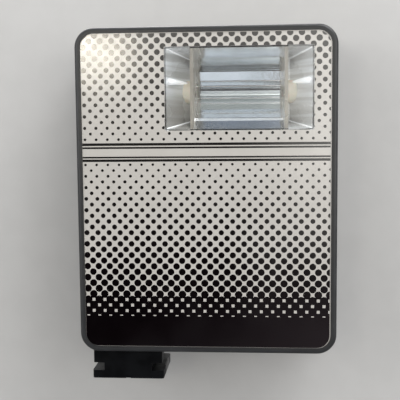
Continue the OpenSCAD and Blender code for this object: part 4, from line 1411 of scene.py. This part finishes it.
@dataclass
class Electronics(SubAssembly):
    """Capacitor, circuit board and everything soldered to it."""

    sleeve: Finish = Finish(
        "capacitor_sleeve", "capacitor_sleeve", (0.02, 0.028, 0.07), (0.028, 0.036, 0.085), roughness=0.28,
        grain=3.0, depth=0.006, coat=0.4)
    seal: Finish = Finish("seal_rubber", "seal_rubber", (0.09, 0.07, 0.055), (0.06, 0.045, 0.04), roughness=0.8)
    board: Finish = Finish(
        "phenolic_board", "board", (0.36, 0.22, 0.09), (0.29, 0.17, 0.065), roughness=0.5, grain=1.6, depth=0.01)
    ferrite: Finish = Finish(
        "dark_ferrite", "ferrite", (0.05, 0.048, 0.048), (0.075, 0.07, 0.07), roughness=0.55, grain=5.0, depth=0.02)
    winding: Finish = Ribbed(
        "enamelled_turns", "winding", (0.5, 0.22, 0.07), (0.6, 0.3, 0.1), roughness=0.3, coat=0.4)
    wax: Finish = Finish(
        "waxed_coil", "coil_wax", (0.38, 0.1, 0.05), (0.46, 0.14, 0.06), roughness=0.35, coat=0.5, subsurface=0.1)
    resin: Finish = Finish(
        "dipped_resin", "dipped_resin", (0.58, 0.17, 0.045), (0.66, 0.22, 0.06), roughness=0.22, grain=1.2,
        depth=0.03, coat=0.6)
    insulation: Finish = Finish(
        "red_insulation", "wire_insulation", (0.46, 0.035, 0.03), (0.38, 0.03, 0.025), roughness=0.4)
    wire_radius: float = 0.09
    wire_rise: float = 0.6
    coil_turns: float = 22.0
    coil_margin: float = 1.4
    ring_width: float = 0.05

    def resistor_bands(self) -> Finish:
        """Makes the finish of the lacquered resistors, with four coloured rings.

        Returns:
            The finish.
        """
        tan = (0.58, 0.44, 0.27)
        bands = []
        for share, color in ((0.3, (0.3, 0.07, 0.02)), (0.41, (0.01, 0.01, 0.01)), (0.52, (0.65, 0.25, 0.02)),
                             (0.66, (0.6, 0.42, 0.1))):
            bands += [(share, color), (share + self.ring_width, tan)]
        return Banded("resistor_lacquer", "resistor_body", tan, (0.52, 0.39, 0.24), roughness=0.4,
                      **ends_of("resistors", Axis.Z), bands=tuple(bands))

    def diode_mark(self) -> Finish:
        """Makes the finish of the diode, with its pale ring.

        Returns:
            The finish.
        """
        dark = (0.02, 0.02, 0.022)
        return Banded("diode_body", "black_plastic", dark, (0.03, 0.03, 0.032), roughness=0.35,
                      **ends_of("diode", Axis.X), bands=((0.66, (0.6, 0.6, 0.58)), (0.72, dark)))

    def build(self) -> None:
        """Finishes the electronic parts and winds the trigger coil."""
        self.dress({"main_capacitor": self.sleeve, "capacitor_seal": self.seal, "circuit_board": self.board,
                    "transformer_core": self.ferrite, "transformer_winding": self.winding,
                    "trigger_coil": self.wax, "trigger_capacitor": self.resin,
                    "switching_transistor": Casing.black, "diode": self.diode_mark(),
                    "resistors": self.resistor_bands(), "wires": self.insulation})
        low, high = span("trigger_coil")
        radius = (high.z - low.z) / 2
        turns = WoundWire().piece("trigger_turns", self.winding, {
            "Turns": self.coil_turns, "Tilt": Vector((0, math.pi / 2, 0)),
        }, {
            "Radius": radius + self.wire_radius * self.wire_rise, "Length": high.x - low.x - 2 * self.coil_margin,
            "Wire radius": self.wire_radius,
            "Start": Vector((low.x + self.coil_margin, low.y + radius, (low.z + high.z) / 2))})
        turns.data.shade_smooth()
        self.keep(turns, Body.CASING, self.winding)


@dataclass(frozen=True)
class Arc:
    """Numbers along an arc around the dial, with angles in degrees as seen from behind."""

    texts: tuple[str, ...]
    gap: float
    middle: float
    sweep: float
    height: float


@dataclass(frozen=True)
class Ticks:
    """An arc or ring of radial strokes, with angles in degrees."""

    name: str
    body: Body
    finish: Finish
    count: int
    long_every: int
    first: float
    step: float
    radius: float
    length: float
    width: float


@dataclass
class RearControls(SubAssembly):
    """Exposure scale and dial, switch, test button with its spring, and the ready lamp."""

    plate: Finish = Finish(
        "scale_lacquer", "scale_print", (0.022, 0.022, 0.024), (0.03, 0.03, 0.033), roughness=0.38, grain=9.0,
        depth=0.003, coat=0.2, scratch=0.2, scratched=(0.14, 0.14, 0.14))
    dial: Finish = Finish(
        "dial_grey", "dial_plastic", (0.085, 0.087, 0.092), (0.095, 0.097, 0.102), roughness=0.36, grain=7.0,
        scratch=0.2, scratched=(0.15, 0.15, 0.15))
    white: Finish = Finish(
        "white_print", "scale_print", (0.72, 0.72, 0.69), (0.66, 0.66, 0.63), grain=10.0, depth=0.002)
    orange: Finish = Finish(
        "orange_print", "scale_print", (0.72, 0.23, 0.03), (0.66, 0.2, 0.03), grain=10.0, depth=0.002)
    button: Finish = Finish(
        "grey_button", "button_plastic", (0.38, 0.38, 0.385), (0.33, 0.33, 0.335), roughness=0.3, coat=0.2)
    lens: Finish = Finish(
        "orange_lens", "lamp_lens", (0.85, 0.2, 0.03), (0.8, 0.26, 0.05), roughness=0.18, coat=0.6, subsurface=0.4,
        glow=0.12)
    neon: Finish = Clear(
        "neon_bulb", "neon_glass", (0.95, 0.62, 0.4), (0.9, 0.5, 0.3), roughness=0.05, index=1.46)
    brass: Finish = Finish(
        "worn_brass", "contact_brass", (0.62, 0.43, 0.16), (0.5, 0.33, 0.13), roughness=0.3, metallic=1.0, grain=4.0)
    plate_numbers: tuple[Arc, ...] = (
        Arc(("16", "11", "8", "5.6", "4", "2.8", "2"), 3.9, 0.0, 12.5, 1.68),
        Arc(("0.7", "1", "1.5", "2", "3", "4.5", "6"), 3.9, 180.0, -12.5, 1.68))
    dial_numbers: tuple[Arc, ...] = (
        Arc(("25", "50", "100", "200", "400"), -3.6, 90.0, -27.0, 2.1),
        Arc(("400", "200", "100", "50", "25"), -3.6, 270.0, 27.0, 1.68))
    capital_share: float = 0.7
    upright_from: float = 0.75
    words: tuple[tuple[str, float], ...] = (("OFF", -1.2), ("ON", 5.0))
    word_height: float = 1.5
    word_drop: float = -4.0
    print_lift: float = 0.012
    tick_gap: float = 0.7
    inner_ring: float = 7.0
    rim_inset: float = 1.5
    rim_strokes: int = 90
    rim_overlap: int = 2
    never_long: int = 1000
    spring_wire: float = 0.25
    spring_turns: float = 4.5

    def lettering(self, text: str, height: float, place: Vector, turn: float = 0.0) -> bpy.types.Mesh:
        """Makes one flat word or number for the rear face.

        Args:
            text: characters to print.
            height: height of a capital letter.
            place: middle of the text, in millimetres.
            turn: turn against the clock as the viewer of the rear face sees it, in radians.

        Returns:
            The mesh, in place.
        """
        curve = bpy.data.curves.new("lettering", "FONT")
        curve.body = text
        curve.size = height / self.capital_share * MM
        curve.align_x = curve.align_y = "CENTER"
        mesh = evaluated(link(bpy.data.objects.new("lettering", curve)))
        rear = Matrix(((-1, 0, 0), (0, 0, 1), (0, 1, 0))).to_4x4()
        mesh.transform(Matrix.Translation(place * MM) @ rear @ Matrix.Rotation(turn, 4, "Z"))
        return mesh

    def printed(self, name: str, meshes: list[bpy.types.Mesh], body: Body) -> None:
        """Joins flat meshes into one white piece that moves with a body.

        Args:
            name: name of the piece.
            meshes: the flat meshes, which this removes.
            body: body that the piece moves with.
        """
        work = bmesh.new()
        for mesh in meshes:
            work.from_mesh(mesh)
            bpy.data.meshes.remove(mesh)
        self.keep(meshed(work, name), body, self.white)

    def arc(self, numbers: Arc, centre: Vector, rim: float) -> list[bpy.types.Mesh]:
        """Makes numbers along an arc, upright on it near its top.

        Args:
            numbers: the numbers and where they go.
            centre: centre of the arc.
            rim: radius of the dial.

        Returns:
            One mesh for each number.
        """
        made = []
        for i, text in enumerate(numbers.texts):
            angle = math.radians(numbers.middle + (i - (len(numbers.texts) - 1) / 2) * numbers.sweep)
            place = centre + Vector((-math.cos(angle), 0, math.sin(angle))) * (rim + numbers.gap)
            upright = angle - math.pi / 2 if math.sin(angle) > self.upright_from else 0.0
            made.append(self.lettering(text, numbers.height, place, upright))
        return made

    def rings(self, rim: float) -> tuple[Ticks, ...]:
        """Lists the strokes around and on the dial.

        Args:
            rim: radius of the dial.

        Returns:
            Each ring or arc of strokes.
        """
        line, outer = rim - self.rim_inset, rim + self.tick_gap
        closed_width = 2 * math.pi * line / (self.rim_strokes - self.rim_overlap)
        return (Ticks("left_ticks", Body.CASING, self.white, 25, 4, -37.5, 3.125, outer, 0.7, 0.16),
                Ticks("right_ticks", Body.CASING, self.white, 25, 4, 142.5, 3.125, outer, 0.7, 0.16),
                Ticks("dial_ticks", Body.DIAL, self.orange, 60, 5, 0.0, 6.0, self.inner_ring, 0.5, 0.14),
                Ticks("dial_rim_line", Body.DIAL, self.white, self.rim_strokes, self.never_long, 0.0,
                      360 / self.rim_strokes, line, 0.18, closed_width))

    def prints(self) -> None:
        """Prints the scale plate, the dial and the switch's words."""
        dial_low, dial_high = span("calculator_dial")
        middle, rim = (dial_low + dial_high) / 2, (dial_high.x - dial_low.x) / 2
        centres = {Body.CASING: Vector((middle.x, span("scale_plate")[1].y + self.print_lift, middle.z)),
                   Body.DIAL: Vector((middle.x, dial_high.y + self.print_lift, middle.z))}
        tree = TickRing()
        for name, body, arcs in (("scale_numbers", Body.CASING, self.plate_numbers),
                                 ("dial_numbers", Body.DIAL, self.dial_numbers)):
            centre = centres[body]
            self.printed(name, [mesh for numbers in arcs for mesh in self.arc(numbers, centre, rim)], body)
            for row in (ring for ring in self.rings(rim) if ring.body is body):
                piece = tree.piece(row.name, row.finish, {
                    "Count": row.count, "Long every": row.long_every, "First angle": math.radians(row.first),
                    "Angle step": math.radians(row.step),
                }, {"Centre": centre, "Inner radius": row.radius, "Length": row.length, "Width": row.width})
                self.keep(piece, body, row.finish)
        knob_low, knob_high = span("switch_knob")
        place = (knob_low + knob_high) / 2 + Vector((0, 0, self.word_drop))
        place.y = span("rear_shell")[1].y + self.print_lift
        self.printed("switch_words", [self.lettering(word, self.word_height, place + Vector((along, 0, 0)))
                                      for word, along in self.words], Body.CASING)

    def spring(self) -> None:
        """Winds the test button's return spring."""
        low, high = span("test_spring")
        wire, middle = self.spring_wire, (low + high) / 2
        piece = WoundWire().piece("return_spring", Casing.steel, {
            "Turns": self.spring_turns, "Tilt": Vector((-math.pi / 2, 0, 0)),
        }, {
            "Radius": (high.x - low.x) / 2 - wire, "Length": high.y - low.y - 2 * wire, "Wire radius": wire,
            "Start": Vector((middle.x, low.y + wire, middle.z))})
        piece.data.shade_smooth()
        self.keep(piece, Body.CASING, Casing.steel, "test_spring")
        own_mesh(piece)

    def build(self) -> None:
        """Finishes the rear controls and prints their scales."""
        self.dress({"scale_plate": self.plate, "calculator_dial": self.dial, "dial_rivet": BatteryBay.nickel,
                    "switch_knob": Casing.black, "switch_body": Casing.black, "test_button": self.button,
                    "test_contact": self.brass, "ready_lens": self.lens, "neon_lamp": self.neon})
        self.prints()
        self.spring()


@dataclass
class Foot(SubAssembly):
    """Accessory-shoe foot with its centre contact and earth strip."""

    nylon: Finish = Finish(
        "foot_nylon", "black_plastic", (0.0015, 0.0017, 0.0022), (0.0032, 0.0036, 0.0045), roughness=0.46,
        spread=0.16, grain=3.0, depth=0.008, drift=0.3, specular=0.07, wear=0.6, wear_width=0.4,
        worn=(0.017, 0.018, 0.021))
    # the earth strip's steel is coloured very dark
    strip: Finish = Finish(
        "dark_steel", "steel", (0.10, 0.098, 0.095), (0.07, 0.068, 0.066), roughness=0.45, grain=8.0, metallic=1.0)

    def build(self) -> None:
        """Finishes the foot's pieces."""
        self.dress({"foot": self.nylon, "foot_contact": RearControls.brass, "foot_earth_strip": self.strip})


# ---------------------------------------------------------------- studio


@dataclass(frozen=True)
class Lamp:
    """One soft area lamp, with its width and height."""

    name: str
    place: Triple
    size: Pair
    power: float
    aim: Triple = (20.0, 0.0, 45.0)
    color: Rgb = (1.0, 1.0, 1.0)

    def build(self) -> None:
        """Hangs the lamp and aims it."""
        data = bpy.data.lights.new(self.name, "AREA")
        data.shape = "RECTANGLE"
        data.size, data.size_y = (side * MM for side in self.size)
        data.energy = self.power
        data.color = self.color
        lamp = link(bpy.data.objects.new(self.name, data))
        lamp.location = Vector(self.place) * MM
        lamp.rotation_euler = (Vector(self.aim) - Vector(self.place)).to_track_quat("-Z", "Y").to_euler()


@dataclass(frozen=True)
class Patch:
    """A soft-edged rectangular part of the surroundings with a colour of its own."""

    aim: Triple
    half: Pair
    blur: Pair
    color: Rgb
    least_ahead: float = 0.001

    def mask(self, graph: Graph, direction: Socket) -> Socket:
        """Returns 1 inside this part of the surroundings and 0 outside it, with a soft edge between.

        Args:
            graph: graph of the world.
            direction: direction that is looked in.

        Returns:
            The mask.
        """
        aim = Vector(self.aim).normalized()
        side = aim.cross(Vector((0, 0, 1))).normalized()
        facing, *sides = (graph.measure("DOT_PRODUCT", direction, tuple(axis)) for axis in (
            aim, side, side.cross(aim)))
        ahead = graph.math("MAXIMUM", facing, self.least_ahead)
        mask = graph.math("GREATER_THAN", facing, self.least_ahead)
        for part, half, blur in zip(sides, self.half, self.blur):
            off = graph.math("ABSOLUTE", graph.math("DIVIDE", part, ahead))
            mask = graph.times(mask, graph.ramp(off, half - blur, half + blur, 1.0, 0.0))
        return mask


@dataclass
class Studio:
    """Camera, lamps, surroundings and the pale surface that the flash gun lies against."""

    camera_place: Triple = (33.76, -202.37, 64.31)
    camera_turn: Triple = (-5.235, 0.303, 4.284)
    sensor: float = 36.0
    lens: float = 69.66
    clip_start: float = 5.0
    backdrop_gap: float = 0.3
    # painted shade: the backdrop's colour falls to backdrop_shade of itself towards the bottom
    backdrop_rise: Pair = (-25.0, 70.0)
    backdrop_shade: float = 0.9
    backdrop_size: float = 3000.0
    backdrop_color: Rgb = (0.56, 0.556, 0.55)
    backdrop_clouds: tuple[Triple, ...] = ((3.0, 3.0, 0.03), (160.0, 4.0, 0.015))
    cloud_tones: Pair = (0.3, 0.7)
    glare_spot: Triple = (-9.2, -10.75, 83.4)
    glare_distance: float = 520.0
    glare_size: Pair = (68.0, 32.0)
    glare_power: float = 0.135
    glare_color: Rgb = (1.0, 0.93, 0.79)
    low_light: float = 0.30
    high_light: float = 0.95
    light_heights: Pair = (-0.5, 0.7)
    open_color: Rgb = (0.55, 0.55, 0.55)
    patches: tuple[Patch, ...] = (
        Patch((0.0, -0.80, 0.60), (0.9, 0.2), (0.05, 0.05), (0.36, 0.38, 0.37)),
        Patch((-0.26, -0.80, -0.60), (0.276, 0.17), (0.006, 0.02), (0.78, 0.82, 0.88)),
        Patch((0.0, -0.56, -0.83), (0.6, 0.12), (0.03, 0.03), (0.2, 0.225, 0.28)),
        Patch((-0.2, -1.0, 0.30), (0.8, 0.13), (0.06, 0.05), (0.96, 0.95, 0.93)),
        Patch((0.0, -1.0, -0.15), (0.36, 0.28), (0.06, 0.06), (0.02, 0.012, 0.016)),
        Patch((0.14, -1.0, -0.30), (0.12, 0.06), (0.12, 0.05), (0.30, 0.23, 0.26)),
        Patch((-0.05, -1.0, 0.10), (0.3, 0.13), (0.05, 0.10), (0.30, 0.29, 0.27)),
        Patch((-0.05, -1.0, 0.15), (0.3, 0.06), (0.05, 0.03), (1.65, 1.6, 1.5)),
        Patch((0.34, -1.0, 0.065), (0.3, 0.135), (0.05, 0.15), (2.9, 2.85, 2.7)),
    )
    lamps: tuple[Lamp, ...] = (
        Lamp("soft_key", (330.0, -230.0, 600.0), (440.0, 440.0), 3.4),
        Lamp("left_fill", (-420.0, -420.0, 160.0), (360.0, 360.0), 0.8),
        Lamp("right_fill", (480.0, -400.0, 140.0), (360.0, 360.0), 0.7),
        Lamp("rear_soft", (-120.0, 330.0, 620.0), (420.0, 420.0), 3.2),
    )

    def camera(self) -> None:
        """Sets up the camera."""
        turn = Vector(self.camera_turn)
        rotation = Matrix.Rotation(math.radians(turn.length), 3, turn.normalized())
        right, forward, up = (rotation @ Vector(axis) for axis in ((1, 0, 0), (0, 1, 0), (0, 0, 1)))
        data = bpy.data.cameras.new("main_camera")
        data.sensor_width, data.lens, data.clip_start = self.sensor, self.lens, self.clip_start * MM
        camera = link(bpy.data.objects.new("main_camera", data))
        pose = Matrix((right, up, -forward)).transposed().to_4x4()
        camera.matrix_world = Matrix.Translation(Vector(self.camera_place) * MM) @ pose
        bpy.context.scene.camera = camera

    def glare_lamp(self) -> Lamp:
        """Aims the small warm lamp whose mirror image lies on the panel's upper left corner.

        Returns:
            The lamp.
        """
        spot = Vector(self.glare_spot)
        bounce = (spot - Vector(self.camera_place)).normalized()
        bounce.y = -bounce.y
        return Lamp("warm_glare", tuple(spot + bounce * self.glare_distance), self.glare_size, self.glare_power,
                    self.glare_spot, self.glare_color)

    def backdrop(self) -> None:
        """Makes the pale surface behind the object, seen only from its front."""
        half = self.backdrop_size / 2
        outline = [(-half, -half), (half, -half), (half, half), (-half, half)]
        sheet = flat("backdrop", [outline], cad_bounds[1][1] / MM + self.backdrop_gap)
        made = bpy.data.materials.new("pale_surface")
        graph = blank(made)
        place = graph.place()
        tones = [graph.ramp(graph.noise(place, scale, detail), *self.cloud_tones, 1.0 - swing, 1.0 + swing)
                 for scale, detail, swing in self.backdrop_clouds]
        # painted shade: darker towards the bottom of the backdrop
        painted_falloff = graph.ramp(graph.parts(place)[2], *(height * MM for height in self.backdrop_rise),
                          self.backdrop_shade, 1.0)
        paper = graph.out("ShaderNodeBsdfDiffuse", {"Color": graph.scaled(
            self.backdrop_color, graph.times(*tones, painted_falloff))})
        seen = graph.times(graph.add("ShaderNodeLightPath").outputs["Is Camera Ray"], graph.minus(
            1.0, graph.add("ShaderNodeNewGeometry").outputs["Backfacing"]))
        both = graph.out("ShaderNodeMixShader", {0: seen, 1: graph.out("ShaderNodeBsdfTransparent"), 2: paper})
        graph.add("ShaderNodeOutputMaterial", {"Surface": both})
        sheet.data.materials.append(made)

    def surroundings(self) -> None:
        """Builds a room of soft light: bright above, paler below, darker around the viewer."""
        world = bpy.data.worlds.new("room")
        graph = blank(world)
        direction = graph.place("Generated")
        level = graph.ramp(graph.parts(direction)[2], *self.light_heights, self.low_light, self.high_light)
        color = graph.scaled((1.0, 1.0, 1.0), level)
        for patch in self.patches:
            color = graph.mixed(patch.mask(graph, direction), color, patch.color)
        seen = graph.add("ShaderNodeLightPath").outputs["Is Camera Ray"]
        background = graph.out("ShaderNodeBackground", {"Color": graph.mixed(seen, color, self.open_color)})
        graph.add("ShaderNodeOutputWorld", {"Surface": background})
        bpy.context.scene.world = world

    def build(self) -> None:
        """Builds the whole studio."""
        bpy.context.scene.view_settings.view_transform = "Standard"
        self.camera()
        self.backdrop()
        self.surroundings()
        for lamp in (*self.lamps, self.glare_lamp()):
            lamp.build()


def main() -> None:
    """Builds the studio and every sub-assembly, in order."""
    logging.basicConfig(level=logging.INFO, format="%(name)s: %(message)s")
    Studio().build()
    for part in (Casing(), FrontPrint(), FlashHead(), BatteryBay(), Electronics(), RearControls(), Foot()):
        log.info("building %s", type(part).__name__)
        part.build()


if __name__ == "__main__":
    main()
